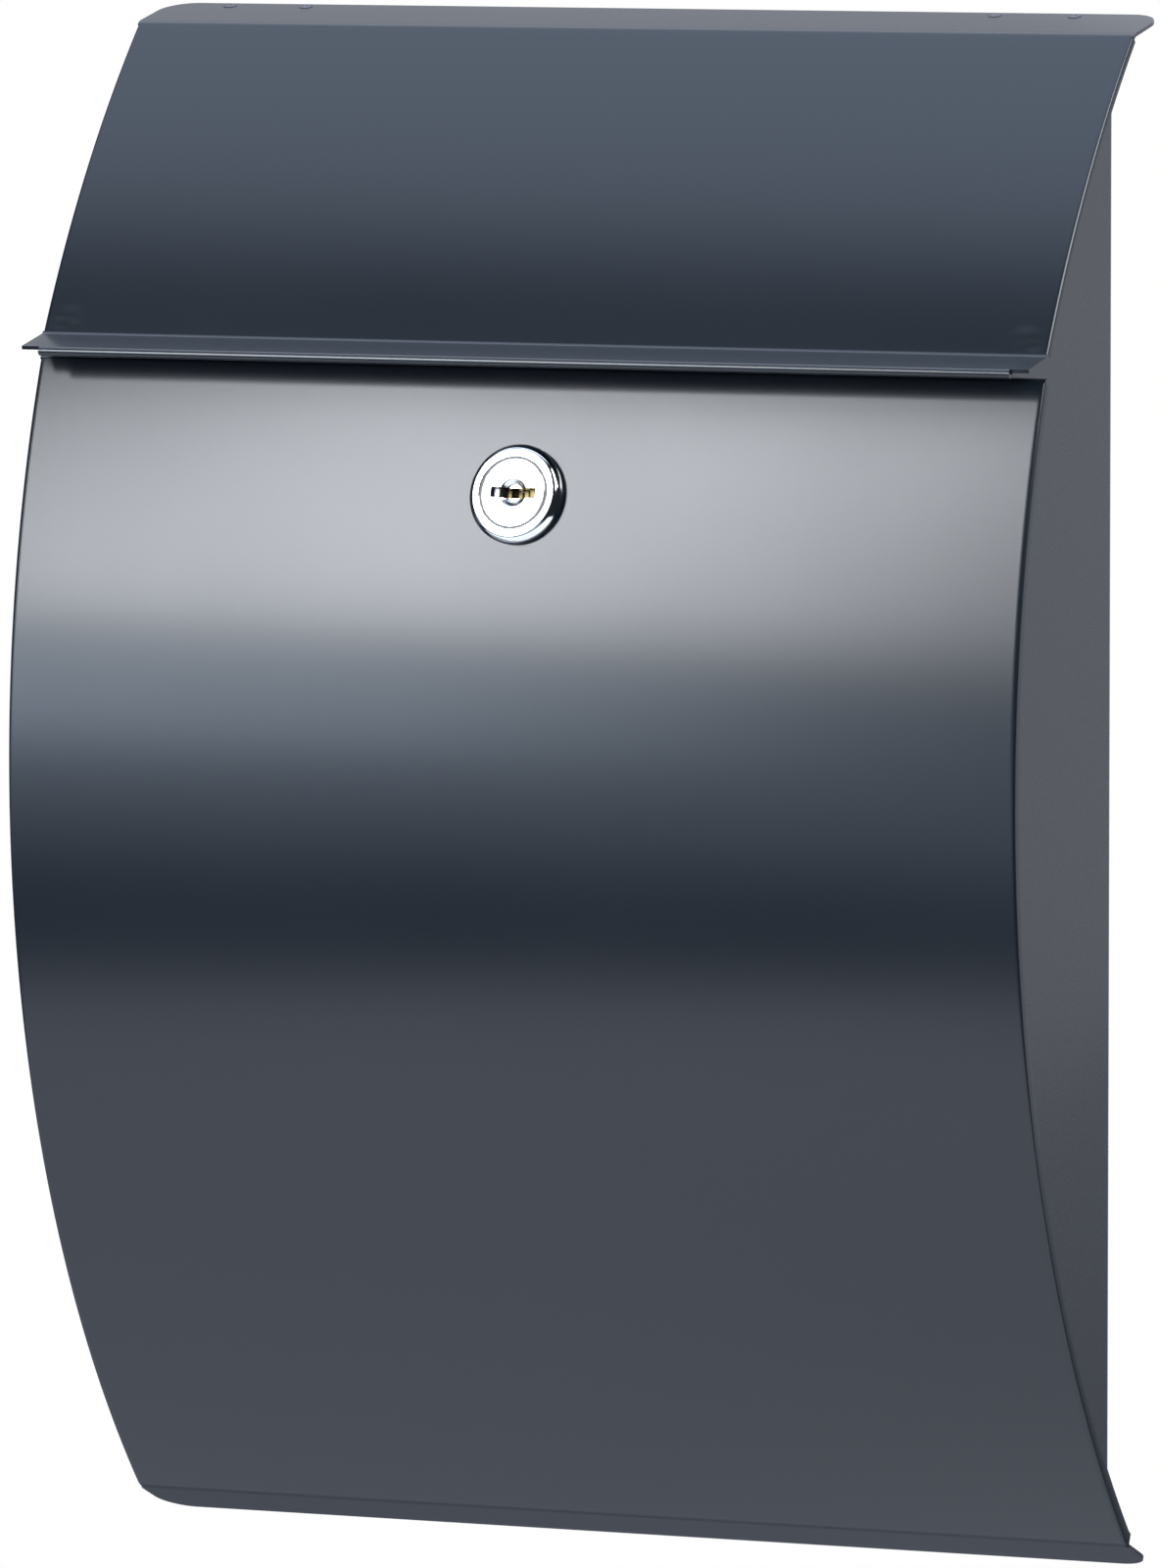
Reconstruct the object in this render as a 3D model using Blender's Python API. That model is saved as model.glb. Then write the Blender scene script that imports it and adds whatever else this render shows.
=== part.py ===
"""Wall mounted mailbox with a curved two-part front.

A folded sheet body hangs on the wall. Its front is closed by two curved sheets that are wider than
the body: a mail flap above, hinged at its top, and a door below, hinged at its bottom and held shut
by a cam lock. Metres, +Z up, +Y into the wall, and the origin at the centre of the wall face.
"""

import math

import bmesh
import bpy
from mathutils import Matrix, Vector

# --- Driving dimensions -------------------------------------------------------------------------

SHEET = 0.0010            # thickness of every folded sheet
GAP = 0.0003              # clearance between pieces that touch

FRONT_HALF = 0.1500       # half width of the flap and the door
BODY_HALF = 0.1345        # half width of the body
BODY_TOP = 0.1960
BODY_BOTTOM = -0.1970
BODY_BEND = 0.0025        # outer radius of the body's two rear folds
FRONT_CLEARANCE = 0.0005  # between the side walls and the front sheets
NOTCH_DEPTH = 0.0025      # cut in each side wall's front edge, for the door's folded top
NOTCH_BELOW = 0.0025      # from the door's top down to the notch's bottom

FLAP_RADIUS = 0.3420      # arc of the flap's outer face, in the Y-Z plane
FLAP_CENTRE = Vector((0.2217, -0.0331))
FLAP_BEND_Z = 0.2055      # where the flap folds back into its top flange
FLAP_REAR = Vector((-0.0025, 0.2101))
FLAP_BEND = 0.0030
FLAP_RETURN = 0.0020      # depth of the flap's folded side edges
LIP_ROOT_Z = 0.1211
LIP_DROP = math.radians(12.8)
LIP_REACH = 0.0131        # from the root to the middle of the hem's fold
LIP_BEND = 0.0015
HEM_RADIUS = 0.0011
HEM_LEG = 0.0080
HEM_HALF = 0.1445         # the hem is cut short at both ends
HEM_STEPS = 6

DOOR_RADIUS = 0.3132      # arc of the door's outer face
DOOR_CENTRE = Vector((0.2077, 0.0030))
DOOR_TOP = 0.1152
DOOR_BEND_Z = -0.2055     # where the door folds back into its bottom flange
DOOR_REAR = Vector((-0.0070, -0.2133))
DOOR_BEND = 0.0085
DOOR_RETURN = 0.0040
DOOR_TOP_BEND = 0.0015
DOOR_TOP_FLANGE = 0.0090
DOOR_TOP_FLANGE_HALF = 0.1280
FLANGE_CORNER = 0.0090    # rounding of the rear corners of both flanges
CORNER_STEPS = 6
BEND_STEPS = 4
RETURN_START = 0.0035     # the flap's folded sides start this far from its two bends

FLAP_TRAVEL_STEPS = 22    # facets along the flap's arc
DOOR_TRAVEL_STEPS = 60

TRAY_DEPTH = 0.0080       # height of the folded edges of the roof and the floor
TRAY_FRONT_GAP = 0.0010

SILL_FRONT = -0.0805      # crossbar: sill of the mail slot
SILL_REAR = -0.0705
SILL_TOP = 0.1170
SILL_LIP = 0.0060
STRIKE_BOTTOM = 0.0980
SILL_TAB = 0.0070
SILL_TAB_HEIGHT = 0.0150
SILL_TAB_RIVETS = (0.0025, 0.0095)   # heights above the tab's lower edge

MOUNT_HOLE = 0.0070       # screw holes in the back
MOUNT_HOLE_X = 0.0950
MOUNT_HOLE_Z = 0.1500

HINGE_HALF = 0.0155
HINGE_CENTRES = {"left": -0.11875, "right": 0.1132}
HINGE_SETBACK = 0.0097    # from a flange's rear edge to its pin, along the flange
KNUCKLE_RADIUS = 0.0019
KNUCKLE_HALF = 0.0072     # the leaf's middle knuckle
KNUCKLE_PROUD = 0.0001    # a knuckle stands this much proud of its plate
PIN_RADIUS = 0.00095
PIN_HEAD = 0.0015         # radius of a pin's peened ends
LEAF_THICKNESS = 0.0008
LEAF_START = 0.0024
LEAF_END = 0.0093
LEAF_RIVET = 0.0068
FOOT_REACH = 0.0120
FOOT_RIVET = 0.0075
FLANGE_RIVET_X = 0.01175  # rivets of a moving leaf, from the hinge's centre
FOOT_RIVET_X = 0.0080

RIVET_HEAD = 0.0020
RIVET_HEAD_HEIGHT = 0.0008
RIVET_SHANK = 0.0012
RIVET_TAIL = 0.0017
RIVET_TAIL_HEIGHT = 0.0010
RIVET_DOME = (0.7, 0.8)   # radius and height of the head's flat top, as parts of the whole

LOCK_Z = 0.0810
BEZEL_RADIUS = 0.01375
BEZEL_FACE = 0.0030       # height of the bezel's face above the door
BEZEL_CHAMFER = 0.0012
BARREL_RADIUS = 0.0095
BARREL_END = -0.0200
PLUG_FACE_RADIUS = 0.0090
PLUG_FACE_DEPTH = 0.0022
PLUG_RADIUS = 0.00735
PLUG_DISH_RADIUS = 0.0036
PLUG_DISH_DEPTH = 0.0009
KEY_SLOT = Vector((0.0123, 0.0027, 0.0080))
WASHER_RADIUS = 0.0130
WASHER_FACE = -0.0016
WASHER_THICKNESS = 0.0008
NUT_ACROSS_FLATS = 0.0240
NUT_HEIGHT = 0.0040
CAM_FACE = -0.0210
CAM_THICKNESS = 0.0020
CAM_REACH = 0.0320
CAM_TAIL = 0.0080
CAM_HALF = 0.0070
CAM_SQUARE = 0.0035
SCREW_RADIUS = 0.0020
SCREW_HEAD = 0.0045
SCREW_HEAD_HEIGHT = 0.0025
SCREW_LENGTH = 0.0080

CUT_THROUGH = 0.0100      # a cutter this long passes right through one sheet
CUT_OVER = 0.0100         # how far a trimming shape stands past what it trims

ROUND_STEPS = 36          # facets around the lock
SMALL_STEPS = 16          # facets around pins and holes
RIVET_STEPS = 12

COAT = ("anthracite_coat", (0.055, 0.065, 0.078), 0.42, 0.0)
CHROME = ("polished_chrome", (0.80, 0.80, 0.80), 0.12, 1.0)
ZINC = ("zinc_steel", (0.50, 0.51, 0.52), 0.38, 1.0)
RIVET_STEEL = ("blackened_steel", (0.045, 0.050, 0.058), 0.50, 0.6)
PLUG_METAL = ("plug_metal", (0.72, 0.70, 0.64), 0.25, 1.0)


# --- Small tools ---------------------------------------------------------------------------------

def clear_scene():
    for obj in list(bpy.data.objects):
        bpy.data.objects.remove(obj, do_unlink=True)


def material(look):
    """The material of a look, made the first time it is asked for."""
    name, colour, roughness, metallic = look
    found = bpy.data.materials.get(name)
    if found:
        return found
    made = bpy.data.materials.new(name)
    made.use_nodes = True
    shader = made.node_tree.nodes["Principled BSDF"]
    shader.inputs["Base Color"].default_value = (*colour, 1.0)
    shader.inputs["Roughness"].default_value = roughness
    shader.inputs["Metallic"].default_value = metallic
    made.diffuse_color = (*colour, 1.0)
    return made


def axis_empty(name, location, parent=None):
    """An empty on a joint's axis; location is in the parent's space."""
    empty = bpy.data.objects.new(name, None)
    bpy.context.collection.objects.link(empty)
    empty.location = location
    empty.parent = parent
    return empty


def add_object(name, bm, look, smooth=False):
    """An object from a bmesh."""
    mesh = bpy.data.meshes.new(name)
    bm.to_mesh(mesh)
    bm.free()
    if smooth:
        mesh.shade_smooth()
        mesh.set_sharp_from_angle(angle=math.radians(35))
    obj = bpy.data.objects.new(name, mesh)
    obj.data.materials.append(material(look))
    bpy.context.collection.objects.link(obj)
    return obj


def attach(obj, empty):
    """Parent an object modelled in the world to an empty, with its origin on the empty's axis."""
    obj.data.transform(Matrix.Translation(-empty.location))
    obj.parent = empty


def move_guides(obj, parent, location):
    """Put an object's Boolean guides where the object is."""
    for step in obj.modifiers:
        if step.type == "BOOLEAN":
            step.object.parent = parent
            step.object.location = location


def thicken(obj, thickness=SHEET):
    """Give a folded surface its thickness, behind its outer face."""
    solid = obj.modifiers.new("sheet", "SOLIDIFY")
    solid.thickness = thickness
    solid.offset = -1.0
    solid.use_even_offset = True


def guide(name, bm):
    """A hidden object that a Boolean reads."""
    obj = add_object(name, bm, ZINC)
    obj.hide_render = True
    obj.display_type = "WIRE"
    return obj


def boolean(obj, other, operation):
    step = obj.modifiers.new(other.name, "BOOLEAN")
    step.object = other
    step.operation = operation
    step.solver = "EXACT"


def prism(outline, vector):
    """A solid swept from a flat outline of 3D points along a vector."""
    bm = bmesh.new()
    side = bm.faces.new([bm.verts.new(point) for point in outline])
    swept = bmesh.ops.extrude_face_region(bm, geom=[side])["geom"]
    moved = [v for v in swept if isinstance(v, bmesh.types.BMVert)]
    bmesh.ops.translate(bm, verts=moved, vec=vector)
    bmesh.ops.recalc_face_normals(bm, faces=bm.faces)
    return bm


def box(bm, low, high):
    """A box between two corners."""
    size = Vector(high) - Vector(low)
    middle = (Vector(high) + Vector(low)) / 2
    place = Matrix.Translation(middle) @ Matrix.Diagonal((*size, 1.0))
    return bmesh.ops.create_cube(bm, size=1.0, matrix=place)["verts"]


def rod(bm, radius, depth, place, steps=SMALL_STEPS):
    """A cylinder about the Z axis of a matrix, centred on it."""
    made = bmesh.ops.create_cone(bm, cap_ends=True, segments=steps, radius1=radius,
                                 radius2=radius, depth=depth, matrix=place)
    return made["verts"]


def turned(profile, steps=SMALL_STEPS):
    """A solid turned about Z from (radius, z) points, given from top to bottom."""
    bm = bmesh.new()
    line = [bm.verts.new((radius, 0.0, z)) for radius, z in profile]
    edges = [bm.edges.new(pair) for pair in zip(line, line[1:])]
    bmesh.ops.spin(bm, geom=line + edges, cent=(0, 0, 0), axis=(0, 0, 1),
                   angle=math.tau, steps=steps, use_merge=True)
    bmesh.ops.remove_doubles(bm, verts=bm.verts, dist=1e-6)
    bmesh.ops.recalc_face_normals(bm, faces=bm.faces)
    return bm


ALONG_X = Matrix.Rotation(math.radians(90), 4, "Y")


# --- Folded sheets -------------------------------------------------------------------------------

def arc_y(centre, radius, z):
    """Y of an arc's front at a height."""
    return centre.x - math.sqrt(radius ** 2 - (z - centre.y) ** 2)


def arc_points(centre, radius, z_from, z_to, steps):
    """Points evenly spaced in angle along an arc's front, ends included."""
    start = math.asin((z_from - centre.y) / radius)
    end = math.asin((z_to - centre.y) / radius)
    points = []
    for i in range(steps + 1):
        turn = start + (end - start) * i / steps
        points.append(centre + Vector((-math.cos(turn), math.sin(turn))) * radius)
    return points


def fillet(before, corner, after, radius, steps=BEND_STEPS):
    """The points of a round fold at a corner between two neighbours."""
    back = (before - corner).normalized()
    ahead = (after - corner).normalized()
    half = back.angle(ahead) / 2
    centre = corner + (back + ahead).normalized() * (radius / math.sin(half))
    start = corner + back * (radius / math.tan(half)) - centre
    end = corner + ahead * (radius / math.tan(half)) - centre
    turn = start.angle_signed(end)
    return [centre + Matrix.Rotation(-turn * i / steps, 2) @ start for i in range(steps + 1)]


def stations(points, half, returned=False):
    """Cross-section points with a half width, and whether the sheet's sides fold there."""
    return [(point, half, returned) for point in points]


def folded_sheet(path, return_depth=0.0):
    """The outer face of a sheet: a strip along X through the stations, with folded side edges."""
    bm = bmesh.new()
    rows = []
    for point, half, _ in path:
        left = bm.verts.new((-half, point.x, point.y))
        right = bm.verts.new((half, point.x, point.y))
        rows.append((left, right))
    for (left, right), (next_left, next_right) in zip(rows, rows[1:]):
        bm.faces.new((left, next_left, next_right, right))
    if return_depth:
        fold_sides(bm, path, rows, return_depth)
    bm.normal_update()
    return bm


def fold_sides(bm, path, rows, depth):
    """Fold the side edges of the returned stations inwards."""
    folded = []
    for i, (point, _, returned) in enumerate(path):
        if not returned:
            continue
        along = (path[i + 1][0] - path[i - 1][0]).normalized()
        inwards = Vector((-along.y, along.x)) * depth
        inner = point + inwards
        left, right = rows[i]
        new_left = bm.verts.new((left.co.x, inner.x, inner.y))
        new_right = bm.verts.new((right.co.x, inner.x, inner.y))
        folded.append((left, right, new_left, new_right))
    for upper, lower in zip(folded, folded[1:]):
        bm.faces.new((upper[1], lower[1], lower[3], upper[3]))
        bm.faces.new((upper[0], upper[2], lower[2], lower[0]))


def round_corners(bm, rear):
    """Round the two corners of a flange at its rear edge."""
    corners = [v for v in bm.verts if abs(v.co.y - rear.x) < GAP and abs(v.co.z - rear.y) < GAP]
    bmesh.ops.bevel(bm, geom=corners, offset=FLANGE_CORNER, offset_type="OFFSET",
                    segments=CORNER_STEPS, profile=0.5, affect="VERTICES")


def flap_path():
    bend = Vector((arc_y(FLAP_CENTRE, FLAP_RADIUS, FLAP_BEND_Z), FLAP_BEND_Z))
    root = Vector((arc_y(FLAP_CENTRE, FLAP_RADIUS, LIP_ROOT_Z), LIP_ROOT_Z))
    front = arc_points(FLAP_CENTRE, FLAP_RADIUS, FLAP_BEND_Z - RETURN_START,
                       LIP_ROOT_Z + RETURN_START, FLAP_TRAVEL_STEPS)
    along = Vector((-math.cos(LIP_DROP), -math.sin(LIP_DROP)))
    above = Vector((-math.sin(LIP_DROP), math.cos(LIP_DROP)))
    tip = root + along * LIP_REACH
    hem_centre = tip - above * HEM_RADIUS
    path = stations([FLAP_REAR], FRONT_HALF)
    path += stations(fillet(FLAP_REAR, bend, front[0], FLAP_BEND), FRONT_HALF)
    path += stations(front, FRONT_HALF, returned=True)
    path += stations(fillet(front[-1], root, tip, LIP_BEND), FRONT_HALF)
    for i in range(HEM_STEPS + 1):
        turn = math.pi * i / HEM_STEPS
        point = hem_centre + (above * math.cos(turn) + along * math.sin(turn)) * HEM_RADIUS
        path.append((point, FRONT_HALF + (HEM_HALF - FRONT_HALF) * i / HEM_STEPS, False))
    path += stations([hem_centre - above * HEM_RADIUS - along * HEM_LEG], HEM_HALF)
    return path


def door_path():
    top = Vector((arc_y(DOOR_CENTRE, DOOR_RADIUS, DOOR_TOP), DOOR_TOP))
    bend = Vector((arc_y(DOOR_CENTRE, DOOR_RADIUS, DOOR_BEND_Z), DOOR_BEND_Z))
    front = arc_points(DOOR_CENTRE, DOOR_RADIUS, DOOR_TOP - 2 * DOOR_TOP_BEND,
                       DOOR_BEND_Z + DOOR_RETURN, DOOR_TRAVEL_STEPS)
    inner = top + Vector((DOOR_TOP_FLANGE, 0.0))
    fold = fillet(inner, top, front[0], DOOR_TOP_BEND)
    path = stations([inner, fold[0] + Vector((2 * SHEET, 0.0))], DOOR_TOP_FLANGE_HALF)
    path += stations(fold, FRONT_HALF)
    path += stations(front, FRONT_HALF, returned=True)
    path += stations(fillet(front[-1], bend, DOOR_REAR, DOOR_BEND), FRONT_HALF)
    path += stations([DOOR_REAR], FRONT_HALF)
    return path


# --- Body ----------------------------------------------------------------------------------------

def body_envelope():
    """A block whose front follows the inside of the two curved sheets."""
    inset = SHEET + FRONT_CLEARANCE
    split = DOOR_TOP + GAP
    upper = arc_points(FLAP_CENTRE, FLAP_RADIUS - inset, BODY_TOP, split, FLAP_TRAVEL_STEPS)
    lower = arc_points(DOOR_CENTRE, DOOR_RADIUS - inset, split - GAP, BODY_BOTTOM,
                       DOOR_TRAVEL_STEPS)
    outline = [Vector((CUT_OVER, BODY_TOP))] + upper + lower + [Vector((CUT_OVER, BODY_BOTTOM))]
    return prism([(-FRONT_HALF, point.x, point.y) for point in outline], (2 * FRONT_HALF, 0, 0))


def make_body_shell():
    """Back and side walls, folded from one sheet, with four screw holes in the back."""
    front = DOOR_CENTRE.x - DOOR_RADIUS - CUT_OVER
    left = Vector((-BODY_HALF, 0.0))
    right = Vector((BODY_HALF, 0.0))
    plan = [Vector((-BODY_HALF, front))]
    plan += fillet(plan[0], left, right, BODY_BEND)
    plan += fillet(left, right, Vector((BODY_HALF, front)), BODY_BEND)
    plan += [Vector((BODY_HALF, front))]
    bm = bmesh.new()
    rows = []
    for point in plan:
        low = bm.verts.new((point.x, point.y, BODY_BOTTOM - CUT_OVER))
        high = bm.verts.new((point.x, point.y, BODY_TOP + CUT_OVER))
        rows.append((low, high))
    for (low, high), (next_low, next_high) in zip(rows, rows[1:]):
        bm.faces.new((low, high, next_high, next_low))
    obj = add_object("body_shell", bm, COAT, smooth=True)
    thicken(obj)
    boolean(obj, guide("guide_envelope", body_envelope()), "INTERSECT")
    holes = bmesh.new()
    across = Matrix.Rotation(math.radians(90), 4, "X")
    for x in (-MOUNT_HOLE_X, MOUNT_HOLE_X):
        for z in (-MOUNT_HOLE_Z, MOUNT_HOLE_Z):
            rod(holes, MOUNT_HOLE / 2, CUT_THROUGH, Matrix.Translation((x, 0, z)) @ across)
    crossbar_rivet_cutters(holes, BODY_HALF)
    boolean(obj, guide("guide_body_holes", holes), "DIFFERENCE")
    notch = bmesh.new()
    notch_y = arc_y(DOOR_CENTRE, DOOR_RADIUS - SHEET, DOOR_TOP) + NOTCH_DEPTH
    box(notch, (-FRONT_HALF, front, DOOR_TOP - NOTCH_BELOW), (FRONT_HALF, notch_y, DOOR_TOP + SHEET))
    boolean(obj, guide("guide_body_notch", notch), "DIFFERENCE")


def make_tray(name, outer_z, inward):
    """The roof or the floor: a plate with its four edges folded into the body."""
    inset = SHEET + FRONT_CLEARANCE
    if inward < 0:
        front = arc_y(FLAP_CENTRE, FLAP_RADIUS - inset, outer_z)
    else:
        front = arc_y(DOOR_CENTRE, DOOR_RADIUS - inset, outer_z)
    half = BODY_HALF - SHEET - GAP
    low = Vector((-half, front + TRAY_FRONT_GAP, min(outer_z, outer_z + inward * TRAY_DEPTH)))
    high = Vector((half, -SHEET - GAP, max(outer_z, outer_z + inward * TRAY_DEPTH)))
    bm = bmesh.new()
    box(bm, low, high)
    rear = [e for e in bm.edges if all(abs(v.co.y - high.y) < GAP for v in e.verts)
            and abs(e.verts[0].co.z - e.verts[1].co.z) > TRAY_DEPTH / 2]
    bmesh.ops.bevel(bm, geom=rear, offset=BODY_BEND - SHEET, offset_type="OFFSET", segments=2,
                    profile=0.5, affect="EDGES")
    open_z = outer_z + inward * TRAY_DEPTH
    open_face = [f for f in bm.faces if abs(f.calc_center_median().z - open_z) < GAP]
    bmesh.ops.delete(bm, geom=open_face, context="FACES_ONLY")
    obj = add_object(name, bm, COAT)
    thicken(obj)
    return obj


def crossbar_rivet_places(half):
    """Side, and position, of the rivets that hold the crossbar to the side walls."""
    y = SILL_FRONT + SILL_TAB / 2
    heights = [SILL_TOP - SILL_TAB_HEIGHT + height for height in SILL_TAB_RIVETS]
    return [(side, (side * half, y, z)) for side in (-1, 1) for z in heights]


def crossbar_rivet_cutters(bm, half):
    """Cutters for those rivets, through the sheets that stand half a width from the middle."""
    for _, place in crossbar_rivet_places(half):
        rod(bm, RIVET_SHANK + GAP, CUT_THROUGH, Matrix.Translation(place) @ ALONG_X)


def make_crossbar():
    """The slot's sill: a front lip, a flat sill, a strike behind it and a tab at each end."""
    half = BODY_HALF - SHEET - GAP
    points = [
        Vector((SILL_FRONT + SHEET, SILL_TOP + SILL_LIP)),
        Vector((SILL_FRONT + SHEET, SILL_TOP)),
        Vector((SILL_REAR, SILL_TOP)),
        Vector((SILL_REAR, STRIKE_BOTTOM)),
    ]
    bm = bmesh.new()
    rows = []
    for point in points:
        rows.append([bm.verts.new((x, point.x, point.y)) for x in (-half, half)])
    for (left, right), (next_left, next_right) in zip(rows, rows[1:]):
        bm.faces.new((left, right, next_right, next_left))
    bm.normal_update()
    obj = add_object("slot_crossbar", bm, COAT)
    thicken(obj)
    tabs = bmesh.new()
    for side in (-1, 1):
        outer = side * half
        inner = side * (half - SHEET)
        low = (min(outer, inner), SILL_FRONT, SILL_TOP - SILL_TAB_HEIGHT)
        high = (max(outer, inner), SILL_FRONT + SILL_TAB, SILL_TOP - SHEET / 2)
        box(tabs, low, high)
    boolean(obj, guide("guide_crossbar_tabs", tabs), "UNION")
    holes = bmesh.new()
    crossbar_rivet_cutters(holes, half)
    boolean(obj, guide("guide_crossbar_holes", holes), "DIFFERENCE")


# --- Hinges --------------------------------------------------------------------------------------

def flange_frame(rear, bend):
    """A flange's direction towards its rear edge, its outward normal and its pin, in Y-Z."""
    along = (rear - bend).normalized()
    up = 1 if rear.y > 0 else -1
    outwards = Vector((-along.y, along.x)) * up
    buried = SHEET + GAP + KNUCKLE_RADIUS
    pin = rear - along * HINGE_SETBACK - outwards * buried
    return along, outwards, pin


FLAP_CORNER = Vector((arc_y(FLAP_CENTRE, FLAP_RADIUS, FLAP_BEND_Z), FLAP_BEND_Z))
DOOR_CORNER = Vector((arc_y(DOOR_CENTRE, DOOR_RADIUS, DOOR_BEND_Z), DOOR_BEND_Z))
FLAP_FLANGE = flange_frame(FLAP_REAR, FLAP_CORNER)
DOOR_FLANGE = flange_frame(DOOR_REAR, DOOR_CORNER)


def leaf_matrix(along, outwards):
    """Turns a leaf from lying along +Y, with +Z outwards, to lie under its flange."""
    return Matrix((
        (1, 0, 0, 0),
        (0, along.x, outwards.x, 0),
        (0, along.y, outwards.y, 0),
        (0, 0, 0, 1),
    ))


def make_leaf(name, along, outwards, riveted):
    """Moving leaf: a plate with one middle knuckle. The pin is the X axis."""
    turn = leaf_matrix(along, outwards)
    top = KNUCKLE_RADIUS - KNUCKLE_PROUD
    outline = [(-HINGE_HALF, LEAF_END), (-HINGE_HALF, LEAF_START), (-KNUCKLE_HALF, LEAF_START),
               (-KNUCKLE_HALF, 0), (KNUCKLE_HALF, 0), (KNUCKLE_HALF, LEAF_START),
               (HINGE_HALF, LEAF_START), (HINGE_HALF, LEAF_END)]
    plate = prism([(x, y, top) for x, y in outline], (0, 0, -LEAF_THICKNESS))
    knuckle = bmesh.new()
    rod(knuckle, KNUCKLE_RADIUS, 2 * KNUCKLE_HALF + 2 * KNUCKLE_PROUD, ALONG_X)
    holes = bmesh.new()
    rod(holes, PIN_RADIUS + GAP, 3 * HINGE_HALF, ALONG_X)
    if riveted:
        for x in (-FLANGE_RIVET_X, FLANGE_RIVET_X):
            rod(holes, RIVET_SHANK + GAP, CUT_THROUGH, Matrix.Translation((x, LEAF_RIVET, 0)))
    for bm in (plate, knuckle, holes):
        bmesh.ops.transform(bm, matrix=turn, verts=bm.verts)
        bmesh.ops.recalc_face_normals(bm, faces=bm.faces)
    obj = add_object(name, plate, ZINC)
    boolean(obj, guide("guide_knuckle_" + name, knuckle), "UNION")
    boolean(obj, guide("guide_holes_" + name, holes), "DIFFERENCE")
    return obj


def make_bracket(name, rise, up):
    """Fixed leaf: a foot on the body, a riser and two outer knuckles. The pin is the X axis."""
    front = -KNUCKLE_RADIUS + KNUCKLE_PROUD
    rear = front + SHEET
    outline = [(rear, 0), (rear, -rise), (-FOOT_REACH, -rise), (-FOOT_REACH, -rise + SHEET),
               (front, -rise + SHEET), (front, 0)]
    plate = prism([(-HINGE_HALF, y, z * up) for y, z in outline], (2 * HINGE_HALF, 0, 0))
    notch = bmesh.new()
    reach = KNUCKLE_RADIUS + 2 * GAP
    inner = KNUCKLE_HALF + KNUCKLE_PROUD + GAP
    box(notch, (-inner, -reach, -reach), (inner, reach, reach))
    knuckles = bmesh.new()
    length = HINGE_HALF + KNUCKLE_PROUD - inner
    for side in (-1, 1):
        rod(knuckles, KNUCKLE_RADIUS, length,
            Matrix.Translation((side * (inner + length / 2), 0, 0)) @ ALONG_X)
    holes = bmesh.new()
    rod(holes, PIN_RADIUS + GAP, 3 * HINGE_HALF, ALONG_X)
    for x in (-FOOT_RIVET_X, FOOT_RIVET_X):
        rod(holes, RIVET_SHANK + GAP, 4 * SHEET, Matrix.Translation((x, -FOOT_RIVET, -rise * up)))
    obj = add_object(name, plate, ZINC)
    boolean(obj, guide("guide_notch_" + name, notch), "DIFFERENCE")
    boolean(obj, guide("guide_knuckles_" + name, knuckles), "UNION")
    boolean(obj, guide("guide_holes_" + name, holes), "DIFFERENCE")
    return obj


def make_pin(name):
    """A hinge pin with a peened head at each end, along X."""
    end = HINGE_HALF + KNUCKLE_PROUD + GAP
    tip = end + PIN_RADIUS
    profile = [(0, tip), (PIN_HEAD, tip), (PIN_HEAD, end), (PIN_RADIUS, end),
               (PIN_RADIUS, -end), (PIN_HEAD, -end), (PIN_HEAD, -tip), (0, -tip)]
    bm = turned(profile)
    bmesh.ops.transform(bm, matrix=ALONG_X, verts=bm.verts)
    return add_object(name, bm, ZINC, smooth=True)


def make_rivet(name, grip):
    """A blind rivet: its head stands on z = 0 and it clamps the sheets down to z = -grip."""
    flat, shoulder = RIVET_DOME
    tail = -grip - GAP
    profile = [(0, GAP + RIVET_HEAD_HEIGHT), (RIVET_HEAD * flat, GAP + RIVET_HEAD_HEIGHT * shoulder),
               (RIVET_HEAD, GAP), (RIVET_SHANK, GAP), (RIVET_SHANK, tail), (RIVET_TAIL, tail),
               (RIVET_TAIL, tail - RIVET_TAIL_HEIGHT), (0, tail - RIVET_TAIL_HEIGHT)]
    return add_object(name, turned(profile, RIVET_STEPS), RIVET_STEEL, smooth=True)


def place_rivet(name, grip, location, direction, parent=None):
    """A rivet whose head stands on a point and faces a direction."""
    rivet = make_rivet(name, grip)
    rivet.rotation_mode = "QUATERNION"
    rivet.rotation_quaternion = Vector(direction).to_track_quat("Z", "Y")
    rivet.location = location
    rivet.parent = parent


def rivet_xs(offset):
    """X of every rivet in a row of both hinges."""
    return [centre + side * offset for centre in HINGE_CENTRES.values() for side in (-1, 1)]


def make_hinge_pair(prefix, moving, flange, body_face, up, riveted):
    """The two hinges between a moving sheet's flange and the roof or the floor."""
    along, outwards, pin = flange
    rise = abs(pin.y - body_face) - GAP
    for side, centre in HINGE_CENTRES.items():
        leaf = make_leaf(f"{prefix}_leaf_{side}", along, outwards, riveted)
        leaf.parent = moving
        leaf.location = (centre, 0, 0)
        move_guides(leaf, moving, leaf.location)
        bracket = make_bracket(f"{prefix}_bracket_{side}", rise, up)
        bracket.location = (centre, pin.x, pin.y)
        move_guides(bracket, None, bracket.location)
        hinge_pin = make_pin(f"{prefix}_pin_{side}")
        hinge_pin.location = (centre, pin.x, pin.y)


def foot_rivets(prefix, pin, body_face, up):
    """The rivets that hold the hinge brackets to the roof or the floor."""
    for number, x in enumerate(rivet_xs(FOOT_RIVET_X), start=1):
        point = (x, pin.x - FOOT_RIVET, body_face + up * (GAP + SHEET))
        place_rivet(f"{prefix}_{number}", SHEET + GAP + SHEET, point, (0, 0, up))


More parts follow.
